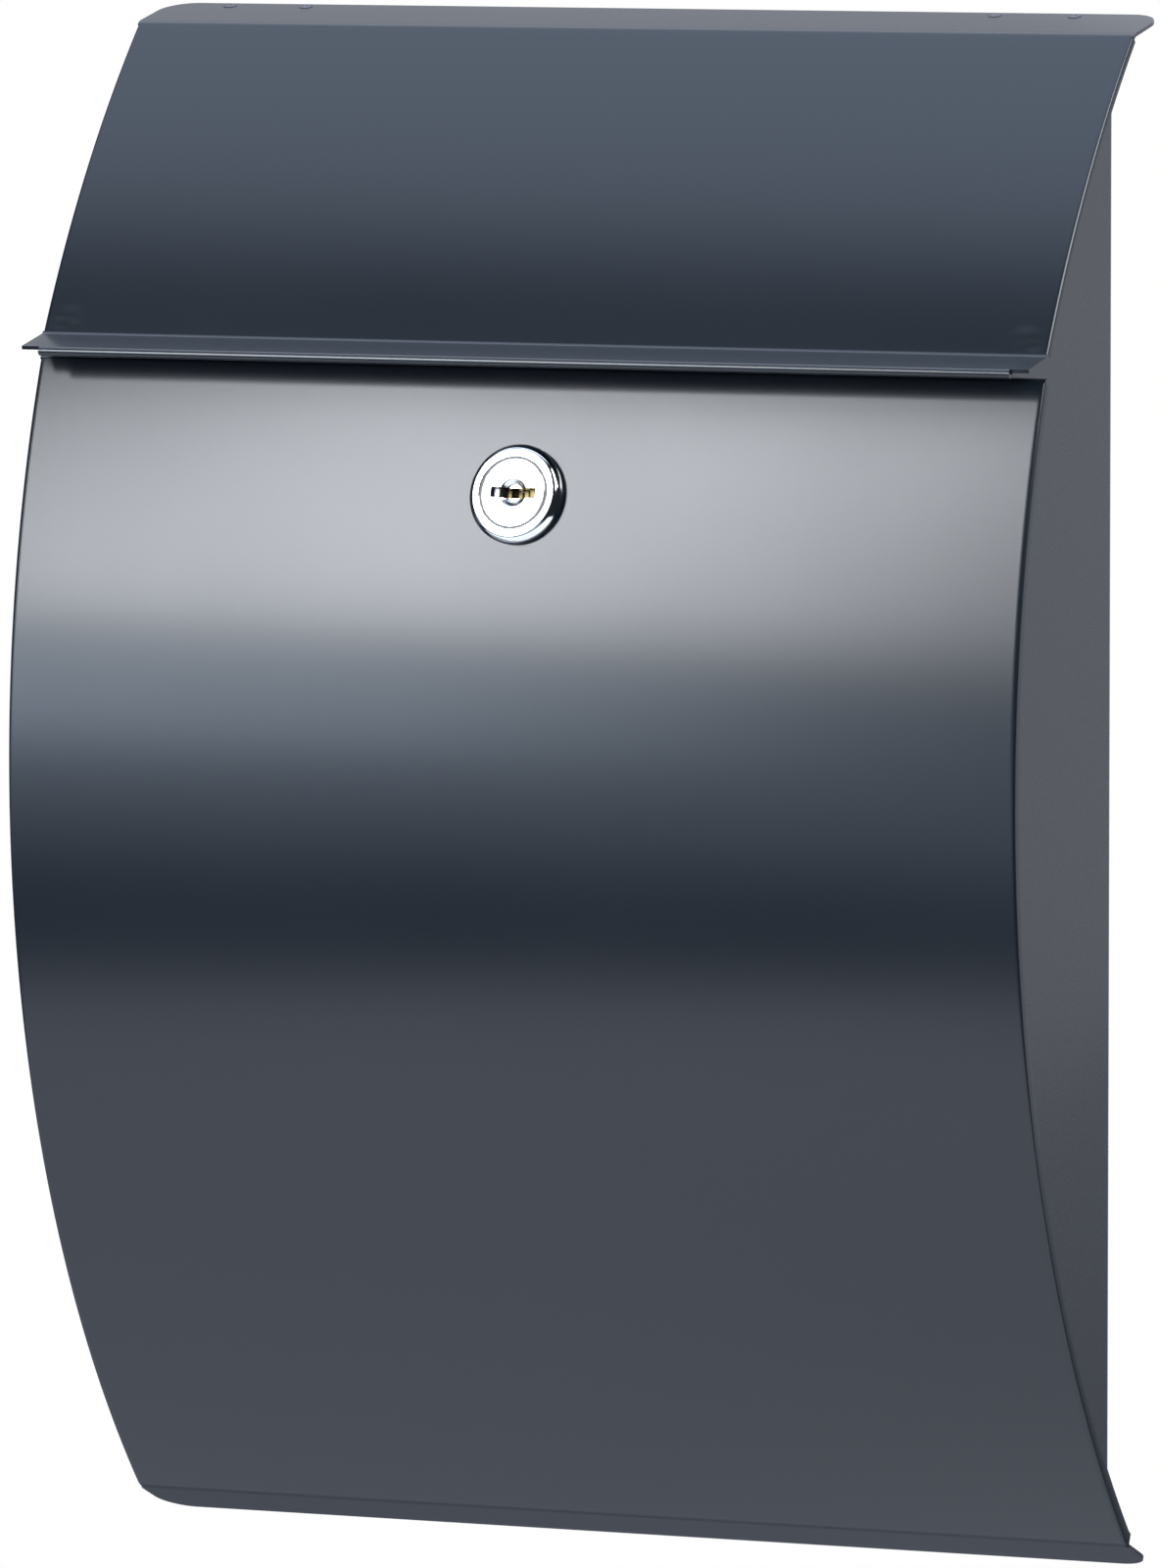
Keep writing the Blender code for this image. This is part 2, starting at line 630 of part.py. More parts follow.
def foot_rivet_holes(name, pin, body_face):
    """Cutters for those rivets in the roof or the floor."""
    holes = bmesh.new()
    for x in rivet_xs(FOOT_RIVET_X):
        place = Matrix.Translation((x, pin.x - FOOT_RIVET, body_face))
        rod(holes, RIVET_SHANK + GAP, 4 * SHEET, place)
    return guide(name, holes)


# --- Lock ----------------------------------------------------------------------------------------

def lock_frame():
    """The lock axis: a point on the door's outer face and the outward normal, in Y-Z."""
    point = Vector((arc_y(DOOR_CENTRE, DOOR_RADIUS, LOCK_Z), LOCK_Z))
    return point, (point - DOOR_CENTRE).normalized()


def make_lock(door_axis, door_pin):
    """Cam lock on an empty whose +Z leaves the door and whose +Y points up the door."""
    point, outwards = lock_frame()
    offset = point - door_pin
    lock_axis = axis_empty("lock_axis", (0, offset.x, offset.y), door_axis)
    lock_axis.rotation_euler = (math.atan2(-outwards.x, outwards.y), 0, 0)

    bore = PLUG_RADIUS + GAP
    face_bore = PLUG_FACE_RADIUS + GAP
    seat = BEZEL_FACE - PLUG_FACE_DEPTH - GAP
    housing_profile = [
        (face_bore, BEZEL_FACE), (BEZEL_RADIUS - BEZEL_CHAMFER, BEZEL_FACE),
        (BEZEL_RADIUS, BEZEL_FACE - BEZEL_CHAMFER), (BEZEL_RADIUS, GAP), (BARREL_RADIUS, GAP),
        (BARREL_RADIUS, BARREL_END), (bore, BARREL_END), (bore, seat), (face_bore, seat),
        (face_bore, BEZEL_FACE),
    ]
    housing = add_object("lock_housing", turned(housing_profile, ROUND_STEPS), CHROME, smooth=True)

    shoulder = CAM_FACE + GAP
    plug_profile = [
        (0, BEZEL_FACE - PLUG_DISH_DEPTH), (PLUG_DISH_RADIUS * 0.8, BEZEL_FACE - PLUG_DISH_DEPTH),
        (PLUG_DISH_RADIUS, BEZEL_FACE), (PLUG_FACE_RADIUS, BEZEL_FACE),
        (PLUG_FACE_RADIUS, BEZEL_FACE - PLUG_FACE_DEPTH),
        (PLUG_RADIUS, BEZEL_FACE - PLUG_FACE_DEPTH), (PLUG_RADIUS, shoulder), (0, shoulder),
    ]
    plug = add_object("lock_plug", turned(plug_profile, ROUND_STEPS), PLUG_METAL, smooth=True)
    square = bmesh.new()
    square_end = CAM_FACE - CAM_THICKNESS - GAP
    box(square, (-CAM_SQUARE, -CAM_SQUARE, square_end), (CAM_SQUARE, CAM_SQUARE, shoulder + SHEET))
    plug_cuts = bmesh.new()
    box(plug_cuts, (-KEY_SLOT.x / 2, -KEY_SLOT.y / 2, BEZEL_FACE - KEY_SLOT.z),
        (KEY_SLOT.x / 2, KEY_SLOT.y / 2, BEZEL_FACE + SHEET))
    screw_hole = SCREW_LENGTH + SHEET
    rod(plug_cuts, SCREW_RADIUS + GAP, screw_hole,
        Matrix.Translation((0, 0, square_end + screw_hole / 2 - GAP)))
    boolean(plug, guide("guide_plug_square", square), "UNION")
    boolean(plug, guide("guide_plug_cuts", plug_cuts), "DIFFERENCE")

    washer_profile = [
        (BARREL_RADIUS + GAP, WASHER_FACE), (WASHER_RADIUS, WASHER_FACE),
        (WASHER_RADIUS, WASHER_FACE - WASHER_THICKNESS),
        (BARREL_RADIUS + GAP, WASHER_FACE - WASHER_THICKNESS), (BARREL_RADIUS + GAP, WASHER_FACE),
    ]
    washer = add_object("lock_washer", turned(washer_profile, ROUND_STEPS), ZINC, smooth=True)

    nut_bm = bmesh.new()
    nut_top = WASHER_FACE - WASHER_THICKNESS - GAP
    corner_radius = NUT_ACROSS_FLATS / 2 / math.cos(math.pi / 6)
    rod(nut_bm, corner_radius, NUT_HEIGHT, Matrix.Translation((0, 0, nut_top - NUT_HEIGHT / 2)), 6)
    nut = add_object("lock_nut", nut_bm, ZINC)
    nut_bore = bmesh.new()
    rod(nut_bore, BARREL_RADIUS + GAP, 4 * NUT_HEIGHT, Matrix.Translation((0, 0, nut_top)),
        ROUND_STEPS)
    boolean(nut, guide("guide_nut_bore", nut_bore), "DIFFERENCE")

    cam = make_cam()
    screw = make_cam_screw()
    for piece in (housing, plug, washer, nut, cam, screw):
        piece.parent = lock_axis
        move_guides(piece, lock_axis, (0, 0, 0))
    return lock_axis


def make_cam():
    """A flat cam that points to -X, with round ends and a square hole."""
    bm = bmesh.new()
    rear = CAM_FACE - CAM_THICKNESS
    box(bm, (-CAM_REACH, -CAM_HALF, rear), (CAM_TAIL, CAM_HALF, CAM_FACE))
    upright = [e for e in bm.edges if abs(e.verts[0].co.z - e.verts[1].co.z) > CAM_THICKNESS / 2]
    bmesh.ops.bevel(bm, geom=upright, offset=CAM_HALF * 0.9, offset_type="OFFSET", segments=6,
                    profile=0.5, affect="EDGES")
    cam = add_object("lock_cam", bm, ZINC, smooth=True)
    hole = bmesh.new()
    reach = CAM_SQUARE + GAP
    box(hole, (-reach, -reach, rear - SHEET), (reach, reach, CAM_FACE + SHEET))
    boolean(cam, guide("guide_cam_hole", hole), "DIFFERENCE")
    return cam


def make_cam_screw():
    """The screw that holds the cam on the plug's square."""
    under_head = CAM_FACE - CAM_THICKNESS - 2 * GAP
    top = under_head + SCREW_LENGTH
    profile = [
        (0, top), (SCREW_RADIUS, top), (SCREW_RADIUS, under_head), (SCREW_HEAD, under_head),
        (SCREW_HEAD, under_head - SCREW_HEAD_HEIGHT * 0.6),
        (SCREW_HEAD * 0.6, under_head - SCREW_HEAD_HEIGHT),
        (0, under_head - SCREW_HEAD_HEIGHT),
    ]
    return add_object("cam_screw", turned(profile), ZINC, smooth=True)


# --- Assembly ------------------------------------------------------------------------------------

def make_flap():
    """The mail flap with its hinges and the four rivets seen on its top flange."""
    along, outwards, pin = FLAP_FLANGE
    flap_axis = axis_empty("flap_axis", (0, pin.x, pin.y))
    bm = folded_sheet(flap_path(), FLAP_RETURN)
    round_corners(bm, FLAP_REAR)
    flap = add_object("flap_panel", bm, COAT, smooth=True)
    attach(flap, flap_axis)
    thicken(flap)
    make_hinge_pair("top_hinge", flap_axis, FLAP_FLANGE, BODY_TOP, 1, riveted=True)
    seat = along * LEAF_RIVET + outwards * (SHEET + GAP + KNUCKLE_RADIUS)
    facing = Vector((0, outwards.x, outwards.y))
    turn = facing.to_track_quat("Z", "Y").to_matrix().to_4x4()
    holes = bmesh.new()
    grip = SHEET + GAP + KNUCKLE_PROUD + LEAF_THICKNESS
    for number, x in enumerate(rivet_xs(FLANGE_RIVET_X), start=1):
        point = (x, seat.x, seat.y)
        rod(holes, RIVET_SHANK + GAP, 4 * SHEET, Matrix.Translation(point) @ turn)
        place_rivet(f"flap_rivet_{number}", grip, point, facing, flap_axis)
    cutter = guide("guide_flap_holes", holes)
    cutter.parent = flap_axis
    boolean(flap, cutter, "DIFFERENCE")


def make_door():
    """The door with its hinges, whose leaves are welded to it, and its lock."""
    pin = DOOR_FLANGE[2]
    door_axis = axis_empty("door_axis", (0, pin.x, pin.y))
    bm = folded_sheet(door_path(), DOOR_RETURN)
    round_corners(bm, DOOR_REAR)
    door = add_object("door_panel", bm, COAT, smooth=True)
    attach(door, door_axis)
    thicken(door)
    make_hinge_pair("bottom_hinge", door_axis, DOOR_FLANGE, BODY_BOTTOM, -1, riveted=False)
    lock_axis = make_lock(door_axis, pin)
    hole = bmesh.new()
    rod(hole, BARREL_RADIUS + GAP, CUT_THROUGH, Matrix.Identity(4), ROUND_STEPS)
    cutter = guide("guide_lock_hole", hole)
    cutter.parent = lock_axis
    boolean(door, cutter, "DIFFERENCE")


def make_roof_and_floor():
    for name, face, inward, flange in (("roof", BODY_TOP, -1, FLAP_FLANGE),
                                       ("floor", BODY_BOTTOM, 1, DOOR_FLANGE)):
        pin = flange[2]
        tray = make_tray(f"{name}_panel", face, inward)
        boolean(tray, foot_rivet_holes(f"guide_{name}_holes", pin, face), "DIFFERENCE")
        foot_rivets(f"{name}_rivet", pin, face, -inward)


def make_crossbar_rivets():
    for number, (side, place) in enumerate(crossbar_rivet_places(BODY_HALF), start=1):
        place_rivet(f"crossbar_rivet_{number}", SHEET + GAP + SHEET, place, (side, 0, 0))


def main():
    clear_scene()
    make_body_shell()
    make_roof_and_floor()
    make_crossbar()
    make_crossbar_rivets()
    make_flap()
    make_door()


main()
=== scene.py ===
# %% [markdown]
# # A wall mounted mailbox in folded sheet steel
#
# The real box is a shop job: every big piece is a flat sheet, rolled to a gentle curve and then
# folded along a few lines. So this lesson makes its sheets the same way. A short line is swept
# round the roller's centre to give the curve, and its ends are carried on as bends and flanges.

# %% Load the fixed frame
import math

import bmesh
import bpy
from mathutils import Matrix, Quaternion, Vector


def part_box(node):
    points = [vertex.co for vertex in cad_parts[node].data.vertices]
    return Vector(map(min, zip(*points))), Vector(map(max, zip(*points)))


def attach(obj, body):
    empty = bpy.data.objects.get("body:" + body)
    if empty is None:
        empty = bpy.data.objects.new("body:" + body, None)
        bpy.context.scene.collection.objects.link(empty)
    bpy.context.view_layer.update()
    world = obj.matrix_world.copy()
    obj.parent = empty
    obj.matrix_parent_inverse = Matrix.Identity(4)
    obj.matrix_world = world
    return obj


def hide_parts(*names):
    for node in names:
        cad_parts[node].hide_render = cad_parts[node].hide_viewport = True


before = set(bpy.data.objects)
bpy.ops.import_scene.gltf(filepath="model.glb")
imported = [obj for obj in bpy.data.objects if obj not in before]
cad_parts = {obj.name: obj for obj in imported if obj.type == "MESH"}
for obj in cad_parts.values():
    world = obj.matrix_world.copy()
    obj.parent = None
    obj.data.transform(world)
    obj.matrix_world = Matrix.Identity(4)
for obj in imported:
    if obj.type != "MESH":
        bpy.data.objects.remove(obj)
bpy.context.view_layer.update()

# %% [markdown]
# ## Shader maths
#
# A finish is a tree of nodes. Writing `grain * 0.4 + 0.3` is easier to read than linking Math
# nodes by hand, so one small class wraps a socket and turns arithmetic into nodes. Every other
# node comes from its `add` method: settings first, then the values or links of its sockets.

# %% A socket that can be calculated with
class Wire:
    """One output socket in a node tree. Arithmetic on it adds Math nodes."""

    def __init__(self, tree, socket=None):
        self.tree = tree
        self.socket = socket

    def add(self, kind, settings=None, inputs=None, output=0):
        """Add a node, set it up, feed its inputs, and return one of its outputs."""
        node = self.tree.nodes.new(kind)
        for name, value in (settings or {}).items():
            setattr(node, name, value)
        for name, value in (inputs or {}).items():
            if isinstance(value, Wire):
                self.tree.links.new(value.socket, node.inputs[name])
            else:
                node.inputs[name].default_value = value
        return Wire(self.tree, node.outputs[output])

    def math(self, operation, *values):
        return self.add("ShaderNodeMath", {"operation": operation}, dict(enumerate(values)))

    def __add__(self, other):
        return self.math("ADD", self, other)

    def __sub__(self, other):
        return self.math("SUBTRACT", self, other)

    def __rsub__(self, other):
        return self.math("SUBTRACT", other, self)

    def __mul__(self, other):
        return self.math("MULTIPLY", self, other)

    __radd__ = __add__
    __rmul__ = __mul__

    def smooth(self, low, high):
        """0 below low, 1 above high, and an even S-curve between them."""
        return self.add("ShaderNodeMapRange", {"interpolation_type": "SMOOTHSTEP"},
                        {"Value": self, "From Min": low, "From Max": high})


# %% [markdown]
# ## Finishes
#
# Each finish starts from the same place: a Principled shader and the object's own coordinates, in
# metres, so that a grain of half a millimetre is half a millimetre on every piece.

# %% Start a finish
def new_finish(name):
    """A material, its Principled node, and the object coordinates as a Wire."""
    material = bpy.data.materials.new(name)
    material.use_nodes = True
    tree = material.node_tree
    shader = tree.nodes["Principled BSDF"]
    coordinates = Wire(tree).add("ShaderNodeTexCoord", output="Object")
    return material, shader, coordinates


def feed(shader, name, wire):
    """Link a Wire to one of the shader's sockets."""
    wire.tree.links.new(wire.socket, shader.inputs[name])


def noise(place, scale, detail=2.0, roughness=0.5):
    """Noise from 0 to 1. Its grains are about 1 / scale metres across."""
    return place.add("ShaderNodeTexNoise", None, {
        "Vector": place, "Scale": scale, "Detail": detail, "Roughness": roughness})


def blend_colours(place, factor, first, second):
    """Mix two colours, given as RGB triples or Wires."""
    inputs = {"Factor": factor}
    for name, colour in (("A", first), ("B", second)):
        inputs[name] = colour if isinstance(colour, Wire) else (*colour, 1.0)
    return mix_node(place, inputs)


def split_axes(place):
    """The X, Y and Z of a vector as three Wires."""
    node = place.tree.nodes.new("ShaderNodeSeparateXYZ")
    place.tree.links.new(place.socket, node.inputs[0])
    return [Wire(place.tree, node.outputs[axis]) for axis in "XYZ"]


def mix_node(place, inputs):
    """The colour sockets of a Mix node share their names with others, so they go by number."""
    numbers = {"Factor": 0, "A": 6, "B": 7}
    by_number = {numbers[name]: value for name, value in inputs.items()}
    return place.add("ShaderNodeMix", {"data_type": "RGBA"}, by_number, output=2)


def bump(place, height, distance, under=None):
    """A Bump node of a height in metres, laid over another if one is given."""
    inputs = {"Height": height, "Distance": distance, "Strength": 1.0}
    if under:
        inputs["Normal"] = under
    return place.add("ShaderNodeBump", None, inputs)


# %% [markdown]
# ### Powder coat
#
# The sheets are sprayed with dry powder and baked. The melt levels out to a semi-gloss skin with a
# faint orange peel, a little rougher where the coat is thin. The folded sheets of the front are
# smoother than the body, whose coat is finely textured. Both are the same dark blue-grey, so one
# function makes both, and only the height of the peel and the grain differ. The hemming tool has
# left a small scuff at each lower corner of the flap: a dent and a rise beside it.

# %% Powder coat
COAT_COLOUR = (0.0075, 0.0112, 0.0165)
COAT_LIGHT = (0.0100, 0.0145, 0.0210)


def powder_coat(name, roughness, peel, grain, speckle, dents=(),
                colours=(COAT_COLOUR, COAT_LIGHT)):
    """Semi-gloss powder coat. peel and grain are bump heights in metres."""
    material, shader, place = new_finish(name)
    clouds = noise(place, 9.0, detail=3.0)
    fine = noise(place, 1700.0, detail=2.0, roughness=0.65)
    wavy = noise(place, 330.0, detail=1.0)
    tone = blend_colours(place, (clouds * 0.5 + fine * speckle).smooth(0.25, 0.85),
                         *colours)
    feed(shader, "Base Color", tone)
    feed(shader, "Roughness", clouds * 0.05 + fine * 0.06 + (roughness - 0.055))
    under = bump(place, wavy, peel)
    under = bump(place, fine, grain, under=under)
    for centre, size, depth in dents:
        under = bump(place, dent(place, centre, size), depth, under=under)
    feed(shader, "Normal", under)
    shader.inputs["IOR"].default_value = 1.50
    return material


def dent(place, centre, size):
    """A soft round dent: 1 in its middle and 0 at its rim. Its two halves mirror about X = 0."""
    mirrored = place.add("ShaderNodeVectorMath", {"operation": "ABSOLUTE"}, {0: place})
    x, y, z = centre
    local = place.add("ShaderNodeMapping", {"vector_type": "TEXTURE"}, {
        "Vector": mirrored, "Location": (x, abs(y), z), "Scale": size})
    length = local.add("ShaderNodeVectorMath", {"operation": "LENGTH"}, {0: local}, output=1)
    return 1.0 - length.smooth(0.0, 1.0)


# Each scuff is a centre, a size and a depth; a negative depth rises.
SCUFFS = (((0.1425, -0.0793, 0.1262), (0.0060, 0.0200, 0.0034), 0.00010),
          ((0.1455, -0.0793, 0.1242), (0.0040, 0.0200, 0.0026), -0.00008))
front_coat = powder_coat("front_coat", 0.24, 0.0000015, 0.0000012, 0.10)
flap_coat = powder_coat("flap_coat", 0.24, 0.0000015, 0.0000012, 0.10, SCUFFS)
body_coat = powder_coat("body_coat", 0.27, 0.0000060, 0.0000180, 0.55)
print("Powder coats:", front_coat.name, flap_coat.name, body_coat.name)

# %% [markdown]
# ### Metals
#
# The lock is chrome plated brass, the hinges are zinc plated, and the rivets are dark steel. All
# are the same tree: faint clouds in colour and roughness, as plating leaves them, and a fine
# grain. The seam round the plug gets painted shade: a grey rough coat without sheen, on a ring
# that stands in for the shade in that narrow gap.

# %% Metals
def plated_metal(name, colour, roughness, cloud_scale, variation, grain):
    """A plated metal: clouds in its roughness and colour, and a fine grain."""
    material, shader, place = new_finish(name)
    clouds = noise(place, cloud_scale, detail=4.0, roughness=0.6)
    fine = noise(place, 2600.0, detail=2.0)
    darker = tuple(c * (1.0 - variation) for c in colour)
    feed(shader, "Base Color", blend_colours(place, clouds.smooth(0.3, 0.7), darker, colour))
    feed(shader, "Roughness", clouds * variation * 0.5 + fine * 0.05 + (roughness - 0.05))
    feed(shader, "Normal", bump(place, fine, grain))
    shader.inputs["Metallic"].default_value = 1.0
    return material


chrome = plated_metal("polished_chrome", (0.80, 0.81, 0.82), 0.10, 120.0, 0.06, 0.0000004)
plug_metal = plated_metal("satin_plug", (0.78, 0.77, 0.74), 0.20, 200.0, 0.08, 0.0000006)
zinc = plated_metal("zinc_plate", (0.56, 0.57, 0.58), 0.36, 160.0, 0.25, 0.0000030)
brass = plated_metal("wafer_brass", (0.26, 0.20, 0.09), 0.42, 400.0, 0.20, 0.0000010)
# Painted shade: this grey coat marks the seam round the plug, where the narrow gap is in shade.
painted_seam_shade = powder_coat("painted_seam_shade", 0.70, 0.0000020, 0.0000100, 0.55,
                        colours=((0.22, 0.22, 0.22), (0.32, 0.32, 0.31)))
rivet_steel = plated_metal("rivet_steel", (0.150, 0.160, 0.180), 0.42, 500.0, 0.25, 0.0000040)
print("Lock and fixings:",
      [m.name for m in (chrome, plug_metal, zinc, brass, painted_seam_shade, rivet_steel)])

# %% [markdown]
# ## Tools for folded sheet
#
# A sheet starts as one line across its width. `pull` carries the line straight on, and `roll`
# sweeps it round a centre, which is what a press brake and a plate roller do. Points are pairs of
# Y and Z, because a sheet of this box has the same section all the way across.

# %% Pull and roll a line into a sheet
SHEET = 0.0010
CUT_EDGE = 0.00022     # rounding left on a cut edge by the coat
FINE_EDGE = 0.00012    # rounding of the lock's and the hinges' edges
NEAR = 0.00002         # two points this close are the same point


def kept_edges(geometry):
    """The edges among what an operator returned."""
    return [item for item in geometry if isinstance(item, bmesh.types.BMEdge)]


def kept_verts(geometry):
    """The vertices among what an operator returned."""
    return [item for item in geometry if isinstance(item, bmesh.types.BMVert)]


def pull(bm, edges, step):
    """Carry edges straight on by a step in Y and Z."""
    made = bmesh.ops.extrude_edge_only(bm, edges=edges)["geom"]
    bmesh.ops.translate(bm, verts=kept_verts(made), vec=(0.0, *step))
    return kept_edges(made)


def roll(bm, edges, centre, angle, steps):
    """Sweep edges about a line along X. A positive angle turns +Y towards +Z."""
    verts = list({v for e in edges for v in e.verts})
    made = bmesh.ops.spin(bm, geom=verts + edges, cent=(0.0, *centre), axis=(1, 0, 0),
                          angle=angle, steps=steps)["geom_last"]
    return kept_edges(made)


def widen(bm, rim, amount):
    """Carry edges that lie along a sheet's two sides outwards in X."""
    made = kept_verts(bmesh.ops.extrude_edge_only(bm, edges=rim)["geom"])
    for side in (-1, 1):
        near = [v for v in made if v.co.x * side > 0]
        bmesh.ops.translate(bm, verts=near, vec=(side * amount, 0.0, 0.0))


def on_circle(centre, radius, z):
    """The front point of a circle at a height."""
    return Vector((centre.x - math.sqrt(radius ** 2 - (z - centre.y) ** 2), z))


def turn_between(centre, first, second):
    """The signed angle about a centre from one point to another, as roll counts it."""
    return -(first - centre).angle_signed(second - centre)


def meet_circle(point, heading, inwards, radius, centre, circle_radius):
    """Round a corner between a straight flange and a rolled sheet.

    The flange starts at point and runs along heading, and the bend lies inwards of it. Returns the
    bend's centre, where the bend begins on the flange, and where it ends on the circle.
    """
    start = point + inwards * radius - centre
    middle = start.dot(heading)
    reach = circle_radius - radius
    along = -middle + math.sqrt(middle ** 2 - start.length_squared + reach ** 2)
    if along < 0:
        along = -middle - math.sqrt(middle ** 2 - start.length_squared + reach ** 2)
    bend_centre = point + heading * along + inwards * radius
    end = centre + (bend_centre - centre).normalized() * circle_radius
    return bend_centre, point + heading * along, end


# %% [markdown]
# A finished sheet gets its thickness from a Solidify modifier and its soft cut edges from a Bevel
# modifier. Rounding a cut edge by a fifth of a millimetre is what makes it catch the light.

# %% Finish a piece
SHARP_ANGLE = math.radians(32)     # a fold steeper than this keeps a sharp line
SOFT_ANGLE = math.radians(35)      # an edge steeper than this is rounded


def new_piece(name, bm, finish, body, replaced):
    """Turn a bmesh into a piece that rides on a body and stands for CAD nodes."""
    mesh = bpy.data.meshes.new(name)
    bm.to_mesh(mesh)
    bm.free()
    mesh.shade_smooth()
    mesh.set_sharp_from_angle(angle=SHARP_ANGLE)
    obj = bpy.data.objects.new(name, mesh)
    bpy.context.collection.objects.link(obj)
    mesh.materials.append(finish)
    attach(obj, body)
    if replaced:
        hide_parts(*replaced)
    print(f"{name}: {len(mesh.polygons)} faces")
    return obj


def thicken(obj):
    """Sheet thickness, laid on the side away from the faces' normals."""
    solid = obj.modifiers.new("thickness", "SOLIDIFY")
    solid.thickness = SHEET
    solid.offset = -1.0
    solid.use_even_offset = True


def soften(obj, width=CUT_EDGE):
    """Round every edge where two faces meet at more than the soft angle."""
    rounding = obj.modifiers.new("soft_edges", "BEVEL")
    rounding.width = width
    rounding.segments = 2
    rounding.limit_method = "ANGLE"
    rounding.angle_limit = SOFT_ANGLE
    rounding.harden_normals = True


def face_outwards(bm, outside):
    """Point a sheet's faces at a place outside it. One test is enough for a connected sheet."""
    bmesh.ops.remove_doubles(bm, verts=bm.verts, dist=1e-6)
    bmesh.ops.recalc_face_normals(bm, faces=bm.faces)
    bm.faces.ensure_lookup_table()
    widest = max(bm.faces, key=lambda f: f.calc_area())
    if widest.normal.dot(Vector(outside) - widest.calc_center_median()) < 0:
        bmesh.ops.reverse_faces(bm, faces=bm.faces)


# %% [markdown]
# ## The rolled fronts
#
# The flap and the door are each one sheet: a rolled web with both side edges folded back, and a
# flange at one end. The web is made by sweeping a shallow U round the roller's centre. Its two
# long folds are then bevelled into round ones, as a press brake leaves them.

# %% Roll a web with folded sides
FRONT_HALF = 0.1500
SIDE_FOLD = 0.0009     # outer radius of the folded sides
FLAT_HALF = 0.1484     # the sheet is flat from side to side between these lines
BEND_STEPS = 12        # facets round the door's wide bend


def rolled_web(centre, radius, top, bottom, depth, steps, bend_centre=None, bend_end=None):
    """A rolled sheet with folded sides; returns its bmesh and its upper and lower web edges.

    The folded sides can follow a bend at the foot, round its centre as far as its end.
    """
    bm = bmesh.new()
    inner = centre + (top - centre).normalized() * (radius - depth)
    places = [(-FRONT_HALF, inner), (-FRONT_HALF, top), (FRONT_HALF, top), (FRONT_HALF, inner)]
    line = [bm.verts.new((x, *point)) for x, point in places]
    edges = [bm.edges.new(pair) for pair in zip(line, line[1:])]
    foot = roll(bm, edges, centre, turn_between(centre, top, bottom), steps)
    arcs = [(centre, radius)]
    if bend_centre:
        roll(bm, foot, bend_centre, turn_between(bend_centre, bottom, bend_end), BEND_STEPS)
        arcs.append((bend_centre, (bottom - bend_centre).length))
        bottom = bend_end
    along = [e for e in bm.edges if abs(e.verts[0].co.x - e.verts[1].co.x) < NEAR]
    folds = [e for e in along if abs(abs(e.verts[0].co.x) - FRONT_HALF) < NEAR and any(
        all(abs((Vector(v.co.yz) - middle).length - outer) < NEAR for v in e.verts)
        for middle, outer in arcs)]
    bmesh.ops.bevel(bm, geom=folds, offset=SIDE_FOLD, offset_type="OFFSET", segments=4,
                    profile=0.5, affect="EDGES", material=-1)
    return bm, web_edge(bm, top), web_edge(bm, bottom)


def divide(bm, places):
    """Cut a whole sheet along lines of equal X. A cut near a fold keeps the fold's shading to it,
    and one beside a hole keeps the hole's shading near the hole."""
    for x in places:
        parts = bm.verts[:] + bm.edges[:] + bm.faces[:]
        bmesh.ops.bisect_plane(bm, geom=parts, plane_co=(x, 0, 0), plane_no=(1, 0, 0))


def web_edge(bm, point):
    """The edge across the sheet at a point of its section."""
    return [e for e in bm.edges if e.calc_length() > FRONT_HALF and all(
        (Vector(v.co.yz) - point).length < NEAR for v in e.verts)]


def side_edges(bm, faces):
    """The open edges along the two sides of some faces."""
    return [e for e in bm.edges if len(e.link_faces) == 1 and e.link_faces[0] in faces
            and abs(e.verts[0].co.x - e.verts[1].co.x) < 1e-6]


def round_flange(bm, rear, radius):
    """Round the two rear corners of a flange, once its strips are one face."""
    strips = [f for f in bm.faces if any((Vector(v.co.yz) - rear).length < NEAR for v in f.verts)]
    bmesh.ops.dissolve_faces(bm, faces=strips, use_verts=True)
    corners = [v for v in bm.verts if (Vector(v.co.yz) - rear).length < NEAR
               and abs(abs(v.co.x) - FRONT_HALF) < NEAR]
    bmesh.ops.bevel(bm, geom=corners, offset=radius, offset_type="OFFSET", segments=8,
                    profile=0.5, affect="VERTICES", material=-1)


# %% [markdown]
# ### The mail flap
#
# The flap hangs from hinges under its top flange. At its foot the sheet turns out into a lip for
# the fingers, and the lip's front edge is hemmed: folded back on itself, so that it is smooth to
# the touch and twice as stiff. The hem stops short of the corners, where the lip is one sheet.

# %% Mail flap
FLAP_CENTRE = Vector((0.2217, -0.0331))
FLAP_RADIUS = 0.3420
FLAP_REAR = Vector((-0.0025, 0.2101))
FLAP_FLANGE_DROP = math.radians(12.46)
FLAP_BEND = 0.0042
FLAP_RETURN = 0.0020   # depth of the folded sides
FLAP_STEPS = 48        # facets along the curve
LIP_ROOT_Z = 0.1211
LIP_DROP = math.radians(12.8)
LIP_BEND = 0.0015
LIP_REACH = 0.0131
HEM_RADIUS = 0.0013
HEM_LEG = 0.0080
HEM_HALF = 0.1445
FLANGE_CORNER = 0.0090

forward = Vector((-math.cos(FLAP_FLANGE_DROP), -math.sin(FLAP_FLANGE_DROP)))
inwards = Vector((math.sin(FLAP_FLANGE_DROP), -math.cos(FLAP_FLANGE_DROP)))
bend_centre, bend_start, flap_top = meet_circle(
    FLAP_REAR, forward, inwards, FLAP_BEND, FLAP_CENTRE, FLAP_RADIUS)
lip_forward = Vector((-math.cos(LIP_DROP), -math.sin(LIP_DROP)))
lip_above = Vector((-math.sin(LIP_DROP), math.cos(LIP_DROP)))

